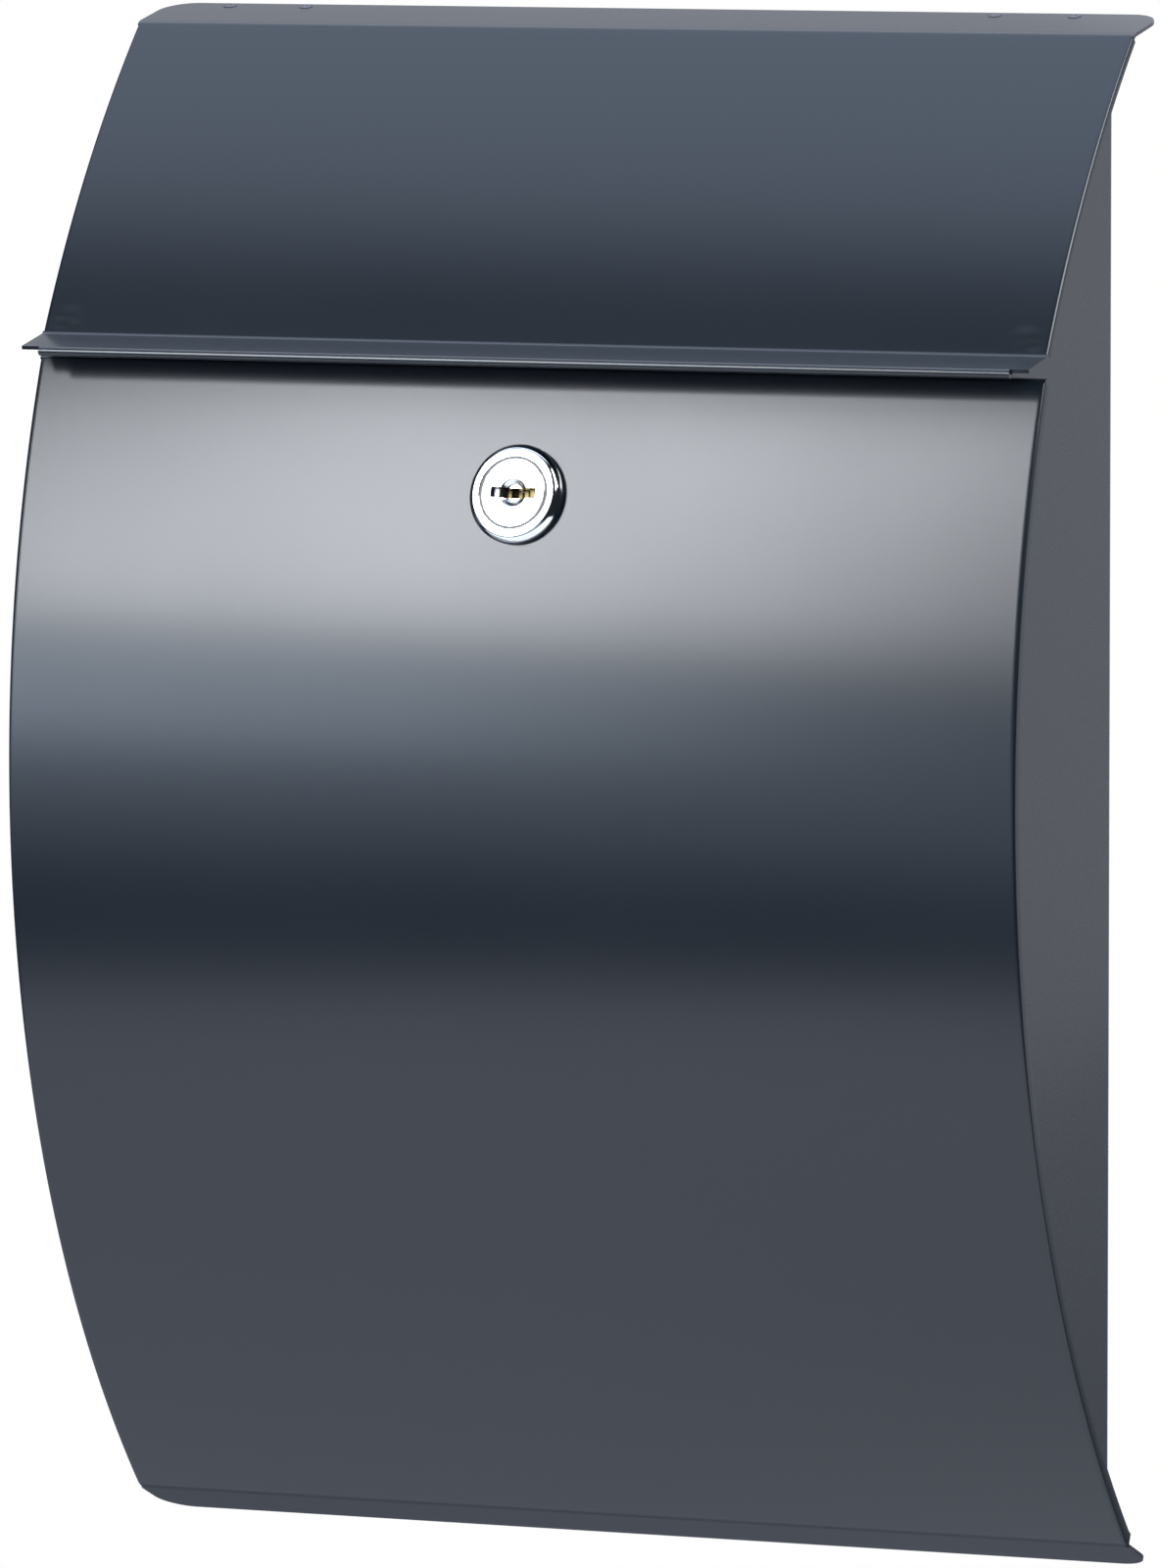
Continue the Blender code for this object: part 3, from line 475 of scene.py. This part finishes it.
# The lip's bend lies outside the roller's circle: its centre is a bend radius above the lip.
root = on_circle(FLAP_CENTRE, FLAP_RADIUS, LIP_ROOT_Z)
lip_line = root + lip_above * LIP_BEND - FLAP_CENTRE
middle = lip_line.dot(lip_forward)
along = -middle + math.sqrt(
    middle ** 2 - lip_line.length_squared + (FLAP_RADIUS + LIP_BEND) ** 2)
lip_centre = FLAP_CENTRE + lip_line + lip_forward * along
flap_foot = FLAP_CENTRE + (lip_centre - FLAP_CENTRE).normalized() * FLAP_RADIUS
lip_start = lip_centre - lip_above * LIP_BEND

bm, upper, lower = rolled_web(FLAP_CENTRE, FLAP_RADIUS, flap_top, flap_foot, FLAP_RETURN,
                              FLAP_STEPS)
web_faces = set(bm.faces)
edge = roll(bm, upper, bend_centre, turn_between(bend_centre, flap_top, bend_start), 8)
edge = pull(bm, edge, FLAP_REAR - bend_start)
edge = roll(bm, lower, lip_centre, turn_between(lip_centre, flap_foot, lip_start), 8)
tip = root + lip_forward * LIP_REACH
pull(bm, edge, tip - lip_start)
flange_faces = set(bm.faces) - web_faces
widen(bm, side_edges(bm, flange_faces), SIDE_FOLD)
bmesh.ops.remove_doubles(bm, verts=bm.verts, dist=1e-6)
round_flange(bm, FLAP_REAR, FLANGE_CORNER)
for x in (-HEM_HALF, HEM_HALF):
    lip = [f for f in bm.faces if f.calc_center_median().y < flap_foot.x]
    parts = lip + [e for f in lip for e in f.edges] + [v for f in lip for v in f.verts]
    bmesh.ops.bisect_plane(bm, geom=list(set(parts)), plane_co=(x, 0, 0), plane_no=(1, 0, 0))
hem = [e for e in bm.edges if all(
    (Vector(v.co.yz) - tip).length < NEAR and abs(v.co.x) < HEM_HALF + NEAR for v in e.verts)]
hem_centre = tip - lip_above * HEM_RADIUS
edge = roll(bm, hem, hem_centre, math.pi, 10)
pull(bm, edge, -lip_forward * HEM_LEG)
divide(bm, (-FLAT_HALF, FLAT_HALF))
face_outwards(bm, (0.0, -1.0, 0.0))
flap_sheet = new_piece("flap_sheet", bm, flap_coat, "flap", ["flap_panel"])
thicken(flap_sheet)
soften(flap_sheet)

# %% [markdown]
# ### The door
#
# The door is rolled to a slightly tighter curve. Its top edge folds in under the flap's lip, and
# its bottom flange folds back to the lower hinges round a wide bend, which the folded sides
# follow. A cut at each side of the lock's place keeps the shading of its hole close to the hole.

# %% Door
DOOR_CENTRE = Vector((0.2077, 0.0030))
DOOR_RADIUS = 0.3132
DOOR_TOP = 0.1152
DOOR_REAR = Vector((-0.0070, -0.2133))
DOOR_FLANGE_RISE = math.radians(22.30)
DOOR_BEND = 0.0085
DOOR_RETURN = 0.0040   # depth of the folded sides
DOOR_STEPS = 96        # facets along the curve
DOOR_TOP_BEND = 0.0015
DOOR_TOP_FLANGE = 0.0090
DOOR_TOP_FLANGE_HALF = 0.1280
BESIDE_LOCK = 0.0200

forward = Vector((-math.cos(DOOR_FLANGE_RISE), math.sin(DOOR_FLANGE_RISE)))
inwards = Vector((math.sin(DOOR_FLANGE_RISE), math.cos(DOOR_FLANGE_RISE)))
bend_centre, bend_start, door_foot = meet_circle(
    DOOR_REAR, forward, inwards, DOOR_BEND, DOOR_CENTRE, DOOR_RADIUS)
top_corner = on_circle(DOOR_CENTRE, DOOR_RADIUS, DOOR_TOP)
fold_rear = top_corner + Vector((DOOR_TOP_FLANGE, 0.0))
fold_centre, fold_start, door_head = meet_circle(
    fold_rear, Vector((-1.0, 0.0)), Vector((0.0, -1.0)), DOOR_TOP_BEND, DOOR_CENTRE, DOOR_RADIUS)

bm, upper, lower = rolled_web(DOOR_CENTRE, DOOR_RADIUS, door_head, door_foot, DOOR_RETURN,
                              DOOR_STEPS, bend_centre, bend_start)
web_faces = set(bm.faces)
pull(bm, lower, DOOR_REAR - bend_start)
roll(bm, upper, fold_centre, turn_between(fold_centre, door_head, fold_start), 8)
flange_faces = set(bm.faces) - web_faces
widen(bm, side_edges(bm, flange_faces), SIDE_FOLD)
bmesh.ops.remove_doubles(bm, verts=bm.verts, dist=1e-6)
round_flange(bm, DOOR_REAR, FLANGE_CORNER)
edge = web_edge(bm, fold_start)
made = kept_verts(bmesh.ops.extrude_edge_only(bm, edges=edge)["geom"])
bmesh.ops.translate(bm, verts=made, vec=(0.0, *(fold_rear - fold_start)))
for v in made:
    v.co.x = math.copysign(DOOR_TOP_FLANGE_HALF, v.co.x)
divide(bm, (-FLAT_HALF, -BESIDE_LOCK, BESIDE_LOCK, FLAT_HALF))
face_outwards(bm, (0.0, -1.0, 0.0))
door_sheet = new_piece("door_sheet", bm, front_coat, "door", ["door_panel"])
thicken(door_sheet)
print("Door sheet from", [round(1000 * v, 1) for v in door_head], "to",
      [round(1000 * v, 1) for v in door_foot])

# %% [markdown]
# ### The lock's place
#
# The lock stands square to the door's curve, so it leans back a little. Its parts are turned about
# Z at the origin and then moved by one matrix, which puts Z along the lock's axis and Y up the
# door. The same matrix sets the drill that makes the lock's hole.

# %% Lock place
LOCK_Z = 0.0810
lock_point = on_circle(DOOR_CENTRE, DOOR_RADIUS, LOCK_Z)
lock_out = (lock_point - DOOR_CENTRE).normalized()
lock_up = Vector((-lock_out.y, lock_out.x))
if lock_up.y < 0:
    lock_up.negate()
lock_place = Matrix((
    (1, 0, 0, 0),
    (0, lock_up.x, lock_out.x, lock_point.x),
    (0, lock_up.y, lock_out.y, lock_point.y),
    (0, 0, 0, 1),
))
print("Lock at", [round(1000 * v, 1) for v in lock_place.translation])

# %% [markdown]
# A hole is cut with a Boolean, whose result is kept as the piece's own mesh. The Boolean works on
# the sheet once it has its thickness, so that the hole has a wall, and the rounding of the edges
# is added again afterwards, so that it rounds the hole's rim too.

# %% Cut a hole and keep the result
def cut(obj, cutter_bm):
    """Cut a shape out of an object, apply its modifiers, and keep the mesh."""
    mesh = bpy.data.meshes.new("cutter")
    cutter_bm.to_mesh(mesh)
    cutter_bm.free()
    cutter = bpy.data.objects.new("cutter", mesh)
    bpy.context.collection.objects.link(cutter)
    step = obj.modifiers.new("cut", "BOOLEAN")
    step.object = cutter
    step.solver = "EXACT"
    step.operation = "DIFFERENCE"
    bpy.context.view_layer.update()
    done = obj.evaluated_get(bpy.context.evaluated_depsgraph_get())
    old = obj.data
    obj.data = bpy.data.meshes.new_from_object(done)
    obj.data.name = old.name
    obj.modifiers.clear()
    bpy.data.meshes.remove(old)
    bpy.data.objects.remove(cutter)
    bpy.data.meshes.remove(mesh)


BARREL_RADIUS = 0.0095
GAP = 0.0003
DRILL_LENGTH = 0.010
bm = bmesh.new()
bmesh.ops.create_cone(bm, cap_ends=True, segments=64, radius1=BARREL_RADIUS + GAP,
                      radius2=BARREL_RADIUS + GAP, depth=DRILL_LENGTH,
                      matrix=lock_place)
cut(door_sheet, bm)
soften(door_sheet)

# %% [markdown]
# ## The lock
#
# A cam lock is a turned barrel with a wide bezel. Turned parts are made by spinning half a
# section about the axis. Every corner of the section gets a small bevel first, because a real
# turned edge is broken with a file, and a bare corner would look like cut glass.

# %% Turn a part on the lathe
def turned(profile, steps=96):
    """Spin a closed or axis-to-axis section of (radius, height) points about Z."""
    bm = bmesh.new()
    line = [bm.verts.new((radius, 0.0, z)) for radius, z in profile]
    edges = [bm.edges.new(pair) for pair in zip(line, line[1:])]
    if profile[0][0] > 0:
        edges.append(bm.edges.new((line[-1], line[0])))
    bmesh.ops.spin(bm, geom=line + edges, cent=(0, 0, 0), axis=(0, 0, 1), angle=math.tau,
                   steps=steps, use_merge=True)
    bmesh.ops.remove_doubles(bm, verts=bm.verts, dist=1e-7)
    bmesh.ops.recalc_face_normals(bm, faces=bm.faces)
    return bm


def rounded(profile, corners, steps=3):
    """Replace some corners of a section, given as {index: radius}, with small arcs."""
    points = [Vector(p) for p in profile]
    count = len(points)
    made = []
    for i, point in enumerate(points):
        if i not in corners:
            made.append(tuple(point))
            continue
        before = points[i - 1]
        after = points[(i + 1) % count]
        back = (before - point).normalized() * corners[i]
        ahead = (after - point).normalized() * corners[i]
        for step in range(steps + 1):
            t = step / steps
            made.append(tuple(point + back * (1 - t) ** 2 + ahead * t ** 2))
    return made


# %% [markdown]
# The bezel and the barrel are one turned piece: a wide polished ring with a conical edge, and a
# tube behind it that goes through the door. Polished walls would mirror the lamps out of the
# narrow seam between the ring and the plug and hide its shade, so a thin grey ring of painted
# shade lies in it just below the face.

# %% Bezel and barrel
BEZEL_RADIUS = 0.01375
BEZEL_FACE = 0.0036
BEZEL_CHAMFER = 0.0013
PLUG_FACE_RADIUS = 0.0094
SEAM = 0.00062
PLUG_FACE_DEPTH = 0.0022
PLUG_RADIUS = 0.00735
BARREL_END = -0.0200
BEZEL_SEAT = 0.0001    # height of the bezel's underside above the door
# The ring of painted shade in the seam: its depth below the face and its gap to the plug.
SHADE_RING_DROP = 0.0003      # depth of the painted shade ring below the bezel's face
SHADE_RING_SIDE = 0.00004

seam_bottom = BEZEL_FACE - PLUG_FACE_DEPTH - GAP
profile = [
    (PLUG_FACE_RADIUS + SEAM, BEZEL_FACE), (BEZEL_RADIUS - BEZEL_CHAMFER, BEZEL_FACE),
    (BEZEL_RADIUS, BEZEL_FACE - 1.5 * BEZEL_CHAMFER), (BEZEL_RADIUS, BEZEL_SEAT),
    (BARREL_RADIUS, BEZEL_SEAT), (BARREL_RADIUS, BARREL_END), (PLUG_RADIUS + GAP, BARREL_END),
    (PLUG_RADIUS + GAP, seam_bottom), (PLUG_FACE_RADIUS + SEAM, seam_bottom),
]
profile = rounded(profile, {0: 0.00010, 1: 0.0006, 2: 0.0006, 3: 0.0001, 5: 0.0004})
bm = turned(profile, 128)
bm.transform(lock_place)
new_piece("lock_bezel_and_barrel", bm, chrome, "door", ["lock_housing"])

# A thin grey ring of painted shade in the seam, just below the bezel's face.
inner, outer = PLUG_FACE_RADIUS + SHADE_RING_SIDE, PLUG_FACE_RADIUS + SEAM
shade_low, shade_high = BEZEL_FACE - 2 * SHADE_RING_DROP, BEZEL_FACE - SHADE_RING_DROP
bm = turned([(inner, shade_low), (outer, shade_low), (outer, shade_high), (inner, shade_high)])
bm.transform(lock_place)
new_piece("lock_painted_seam_shade", bm, painted_seam_shade, "door", [])

# %% [markdown]
# The plug turns in the barrel. Its face has a small round dish with the keyway across it, and
# behind the keyway sit the ends of the brass wafers that the key lifts.

# %% Plug
DISH_RADIUS = 0.0038
DISH_DEPTH = 0.0014
DISH_WALL = 0.0012     # width of the dish's sloping rim
SLOT_LENGTH = 0.0135
SLOT_HEIGHT = 0.0029
SLOT_DEPTH = 0.0080
CAM_FACE = -0.0210     # the plug ends at the cam

profile = [
    (0.0, BEZEL_FACE - DISH_DEPTH), (DISH_RADIUS - DISH_WALL, BEZEL_FACE - DISH_DEPTH),
    (DISH_RADIUS, BEZEL_FACE), (PLUG_FACE_RADIUS, BEZEL_FACE),
    (PLUG_FACE_RADIUS, BEZEL_FACE - PLUG_FACE_DEPTH), (PLUG_RADIUS, BEZEL_FACE - PLUG_FACE_DEPTH),
    (PLUG_RADIUS, CAM_FACE + GAP), (0.0, CAM_FACE + GAP),
]
profile = rounded(profile, {1: 0.0004, 2: 0.0003, 3: 0.00018, 6: 0.0003})
bm = turned(profile, 96)
plug = new_piece("lock_plug_face", bm, plug_metal, "lock_rotor", ["lock_plug"])
slot = bmesh.new()
bmesh.ops.create_cube(slot, size=1.0, matrix=Matrix.Translation((0, 0, BEZEL_FACE)) @
                      Matrix.Diagonal((SLOT_LENGTH, SLOT_HEIGHT, 2 * SLOT_DEPTH, 1.0)))
upright = [e for e in slot.edges if abs(e.verts[0].co.z - e.verts[1].co.z) > SLOT_DEPTH]
bmesh.ops.bevel(slot, geom=upright, offset=0.0003, offset_type="OFFSET", segments=3, profile=0.5,
                affect="EDGES", material=-1)
cut(plug, slot)
plug.data.transform(lock_place)
soften(plug, FINE_EDGE)

# %% [markdown]
# Looking into the keyway, one sees a zinc stop at its left end, then the brass wafers at several
# depths. Each is a small block with broken edges, and the gaps between them stay black.

# %% Key stop and wafers
# Place along the keyway, width, and depth below the face.
WAFER_SIZES = ((-0.0055, 0.0018, 0.0016), (-0.0030, 0.0014, 0.0046), (-0.0004, 0.0014, 0.0062),
               (0.0022, 0.0014, 0.0044), (0.0052, 0.0022, 0.0022))


def bevelled_box(bm, centre, size, offset):
    """Add a box with broken edges to a bmesh."""
    made = bmesh.ops.create_cube(bm, size=1.0, matrix=Matrix.Translation(centre) @
                                 Matrix.Diagonal((*size, 1.0)))["verts"]
    edges = list({e for v in made for e in v.link_edges})
    bmesh.ops.bevel(bm, geom=edges, offset=offset, offset_type="OFFSET", segments=2,
                    profile=0.5, affect="EDGES", material=-1)


def keyway_parts(name, sizes, finish):
    """Blocks in the keyway, each given as its place along it, its width and its depth."""
    bm = bmesh.new()
    low = BEZEL_FACE - SLOT_DEPTH
    for x, width, depth in sizes:
        high = BEZEL_FACE - depth
        size = (width, SLOT_HEIGHT - 0.0002, high - low)
        bevelled_box(bm, (x, 0.0, (low + high) / 2), size, 0.0001)
    bm.transform(lock_place)
    return new_piece(name, bm, finish, "lock_rotor", [])


keyway_parts("lock_key_stop", WAFER_SIZES[:1], zinc)
keyway_parts("lock_wafers", WAFER_SIZES[1:], brass)

# %% [markdown]
# ## Rivets
#
# A blind rivet has a low domed head with a dimple where its mandrel broke off. They are small and
# there are many, so each is turned with few steps and a row of them is one piece. Each is set at
# its CAD rivet's place: the middle of that rivet's box, moved along its axis to the sheet.

# %% Rivets
RIVET_HEAD = 0.0020
RIVET_SEAT = 0.0011    # from the top of the CAD rivet's head down to the height 0 used here
RIVET_SIDE = 0.0018    # how far a tilted rivet's ends reach past its axis, on average
RIVET_SECTION = rounded([
    (0.0, 0.00040), (0.00045, 0.00040), (0.00060, 0.00065), (0.0012, 0.00060),
    (RIVET_HEAD, 0.0003), (0.0012, 0.0003), (0.0012, -0.0028), (0.0017, -0.0030),
    (0.0016, -0.0038), (0.0, -0.0039),
], {2: 0.0001, 3: 0.0004, 4: 0.00015, 7: 0.0002, 8: 0.0004})


def rivet_length(low, high, facing):
    """Length of a rivet from its box, which is longer than the rivet if the rivet is tilted."""
    size = Vector(high) - Vector(low)
    tilt = max(abs(c) for c in facing)
    across = math.sqrt(max(0.0, 1.0 - tilt ** 2))
    longest = max(range(3), key=lambda i: abs(facing[i]))
    return (size[longest] - 2 * RIVET_SIDE * across) / tilt


def rivet_row(name, body, nodes, direction):
    """One piece for several rivets. direction gives the way a rivet faces from its middle."""
    bm = bmesh.new()
    for node in nodes:
        low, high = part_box(node)
        middle = (Vector(low) + Vector(high)) / 2
        facing = Vector(direction(middle)).normalized()
        seat = middle + facing * (rivet_length(low, high, facing) / 2 - RIVET_SEAT)
        turning = facing.to_track_quat("Z", "Y").to_matrix().to_4x4()
        one = turned(RIVET_SECTION, 24)
        one.transform(Matrix.Translation(seat) @ turning)
        mesh = bpy.data.meshes.new("rivet")
        one.to_mesh(mesh)
        one.free()
        bm.from_mesh(mesh)
        bpy.data.meshes.remove(mesh)
    return new_piece(name, bm, rivet_steel, body, nodes)


flap_normal = Vector((0.0, -math.sin(FLAP_FLANGE_DROP), math.cos(FLAP_FLANGE_DROP)))
four = range(1, 5)
rivet_row("flap_rivets", "flap", [f"flap_rivet_{i}" for i in four], lambda m: flap_normal)
rivet_row("roof_rivets", "body", [f"roof_rivet_{i}" for i in four], lambda m: (0, 0, 1))
rivet_row("floor_rivets", "body", [f"floor_rivet_{i}" for i in four], lambda m: (0, 0, -1))
rivet_row("sill_rivets", "body", [f"crossbar_rivet_{i}" for i in four],
          lambda m: (math.copysign(1.0, m.x), 0, 0))

# %% [markdown]
# ## The body and the small steel parts
#
# The trays, the sill and the hinges are flat pressings whose CAD shape is already right. Each is
# copied, its loose triangles are merged back into whole faces, and its edges are rounded. The side
# walls also get a notch behind the lip, where the real walls leave room for the flap's corners.

# %% Copy a CAD part and round its edges
def rounded_copy(node, name, finish, body, width=CUT_EDGE):
    """A piece in the shape of a CAD node, with whole faces and soft edges."""
    bm = bmesh.new()
    bm.from_mesh(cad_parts[node].data)
    bmesh.ops.remove_doubles(bm, verts=bm.verts, dist=2e-6)
    bmesh.ops.dissolve_limit(bm, angle_limit=math.radians(1.0), verts=bm.verts, edges=bm.edges)
    obj = new_piece(name, bm, finish, body, [node])
    soften(obj, width)
    return obj


# %% Body, small parts and hinges
NOTCH_CENTRE = (0.0, -0.0870, 0.1180)
NOTCH_SIZE = (0.320, 0.0180, 0.0062)

body_walls = rounded_copy("body_shell", "body_walls", body_coat, "body")
bm = bmesh.new()
bmesh.ops.create_cube(bm, size=1.0, matrix=Matrix.Translation(NOTCH_CENTRE) @
                      Matrix.Diagonal((*NOTCH_SIZE, 1.0)))
cut(body_walls, bm)
soften(body_walls)
rounded_copy("roof_panel", "roof_tray", body_coat, "body")
rounded_copy("floor_panel", "floor_tray", body_coat, "body")
rounded_copy("slot_crossbar", "slot_sill", body_coat, "body")
for side in ("left", "right"):
    for end, moving in (("top", "flap"), ("bottom", "door")):
        for part, body in (("bracket", "body"), ("pin", "body"), ("leaf", moving)):
            node = f"{end}_hinge_{part}_{side}"
            rounded_copy(node, f"{end}_{part}_{side}", zinc, body, FINE_EDGE)
for node, body in (("lock_washer", "door"), ("lock_nut", "door"), ("lock_cam", "lock_rotor"),
                   ("cam_screw", "lock_rotor")):
    rounded_copy(node, node + "_finished", zinc, body, 0.00015)

# %% [markdown]
# ## Camera and light
#
# The box is seen from its right and a little above, through a long lens from nearly four metres
# away, so that its long edges stay almost parallel.

# %% Camera
CAMERA_PLACE = (1.6098, -3.5684, 0.3166)
CAMERA_DOWN = math.radians(4.69)
CAMERA_TURN = math.radians(24.62)
LENS = 325.5
camera_data = bpy.data.cameras.new("camera")
camera_data.lens = LENS
camera_data.sensor_width = 36.0
camera_data.clip_end = 100.0
camera = bpy.data.objects.new("camera", camera_data)
bpy.context.collection.objects.link(camera)
camera.location = CAMERA_PLACE
camera.rotation_euler = (math.pi / 2 - CAMERA_DOWN, 0.0, CAMERA_TURN)
bpy.context.scene.camera = camera

# %% [markdown]
# The floor is a pale disc well below the box. The lower part of the door mirrors it, so its
# radius decides how far up the door that paler reflection reaches. Behind the box it turns darker,
# because the bottom flange mirrors that side and is as dark as the door.

# %% Floor
FLOOR_CENTRE = (0.0, -0.05, -0.45)
FLOOR_RADIUS = 0.98
bm = bmesh.new()
bmesh.ops.create_circle(bm, cap_ends=True, segments=96, radius=FLOOR_RADIUS,
                        matrix=Matrix.Translation(FLOOR_CENTRE))
mesh = bpy.data.meshes.new("studio_floor")
bm.to_mesh(mesh)
bm.free()
floor = bpy.data.objects.new("studio_floor", mesh)
bpy.context.collection.objects.link(floor)
pale, shader, place = new_finish("pale_floor")
behind = split_axes(place)[1].smooth(-0.03, 0.17)
feed(shader, "Base Color", blend_colours(place, behind + noise(place, 3.0) * 0.05,
                                         (0.81, 0.81, 0.82), (0.16, 0.16, 0.17)))
shader.inputs["Roughness"].default_value = 0.9
mesh.materials.append(pale)

# %% [markdown]
# Three softboxes light the box. The key is narrow and stands to the left, so that the bright band
# across the door fades to both sides. A dim one below it carries the band's lower border, and a
# large one at the right draws the bright lines along the folded edges. As the camera sees it, the
# right side wall mirrors what lies behind the box, so a dim card hangs there, close to the wall.

# %% Soft light
BOX_MIDDLE = Vector((0.0, -0.08, 0.0))


def softbox(name, azimuth, elevation, distance, width, height, radiance, colour):
    """An area light seen from the box at an azimuth (0 in front, positive to the right)."""
    light = bpy.data.lights.new(name, "AREA")
    light.shape = "RECTANGLE"
    light.size = width
    light.size_y = height
    light.energy = radiance * math.pi * width * height
    light.color = colour
    obj = bpy.data.objects.new(name, light)
    bpy.context.collection.objects.link(obj)
    a, e = math.radians(azimuth), math.radians(elevation)
    towards = Vector((math.sin(a) * math.cos(e), -math.cos(a) * math.cos(e), math.sin(e)))
    obj.location = BOX_MIDDLE + towards * distance
    obj.rotation_euler = towards.to_track_quat("Z", "Y").to_euler()
    return obj


softbox("key_softbox", -27.4, 23.5, 1.6, 0.40, 0.74, 18.4, (0.92, 0.95, 1.0))
softbox("key_lower_edge", -31.0, 3.8, 1.6, 0.50, 0.28, 6.0, (0.75, 0.89, 1.07))
softbox("edge_softbox", 76.0, 42.0, 1.6, 1.15, 0.90, 9.4, (0.93, 0.96, 1.0))

SIDE_WALL_MIDDLE = Vector((0.150, -0.050, 0.165))
CARD_DIRECTION = Vector((0.4158, 0.906, 0.0))
CARD_DISTANCE = 0.25
CARD_TWIST = math.radians(27.0)
side_card = softbox("side_card", 0.0, 0.0, 1.0, 0.70, 0.50, 0.185, (0.95, 0.97, 1.0))
side_card.location = SIDE_WALL_MIDDLE + CARD_DIRECTION * CARD_DISTANCE
facing_wall = CARD_DIRECTION.to_track_quat("Z", "Y")
side_card.rotation_euler = (facing_wall @ Quaternion((0, 0, 1), CARD_TWIST)).to_euler()

# %% [markdown]
# ### The studio dome
#
# The rest of the studio is a dark room with a few pale patches, and the coat mirrors all of them.
# The dome is painted by direction: how high a ray looks, and how far round. A ray from the camera
# itself sees plain white, so the object stands on a clean page.

# %% Studio dome
world = bpy.data.worlds.new("studio")
world.use_nodes = True
bpy.context.scene.world = world
tree = world.node_tree
tree.nodes.clear()
start = Wire(tree)
direction = start.add("ShaderNodeTexCoord", output="Generated")
towards_x, towards_y, towards_z = split_axes(direction)
height = start.math("ARCSINE", towards_z) * math.degrees(1)
turn = start.math("ARCTAN2", towards_x, 0.0 - towards_y) * math.degrees(1)
backwards = towards_y.smooth(0.10, 0.60)


def patch(height_from, height_to, feather=4.0):
    """A level band of the dome, 1 inside it and 0 outside."""
    return (height.smooth(height_from - feather, height_from + feather)
            * (1.0 - height.smooth(height_to - feather, height_to + feather)))


# The ceiling's edge is lower at the left, the horizon glows at the front left, and the rear wall
# is a little brighter above the box.
lean = (0.5 - turn.smooth(-88.0, 32.0)) * 24.0
ceiling = (height + lean).smooth(50.0, 64.0) * 2.00
horizon = patch(-11.0, -1.0) * turn.smooth(-70.0, -58.0) * (1.0 - turn.smooth(2.0, 14.0)) * 1.30
rear_wall = backwards * (patch(-8.0, 60.0) * 0.62 + patch(14.0, 60.0) * 0.13)
floor_glow = (1.0 - height.smooth(-60.0, -32.0)) * 0.10
light_level = ceiling + horizon + rear_wall + floor_glow + 0.02
tint = blend_colours(start, backwards, (0.78, 0.92, 1.17), (0.92, 0.96, 1.08))
dome = start.add("ShaderNodeBackground", None, {"Color": tint, "Strength": light_level})
white = start.add("ShaderNodeBackground", None, {"Color": (1, 1, 1, 1), "Strength": 1.0})
seen = start.add("ShaderNodeLightPath", output="Is Camera Ray")
mixed = start.add("ShaderNodeMixShader", None, {0: seen, 1: dome, 2: white})
output = tree.nodes.new("ShaderNodeOutputWorld")
tree.links.new(mixed.socket, output.inputs["Surface"])

scene = bpy.context.scene
scene.view_settings.view_transform = "Standard"
scene.view_settings.look = "None"
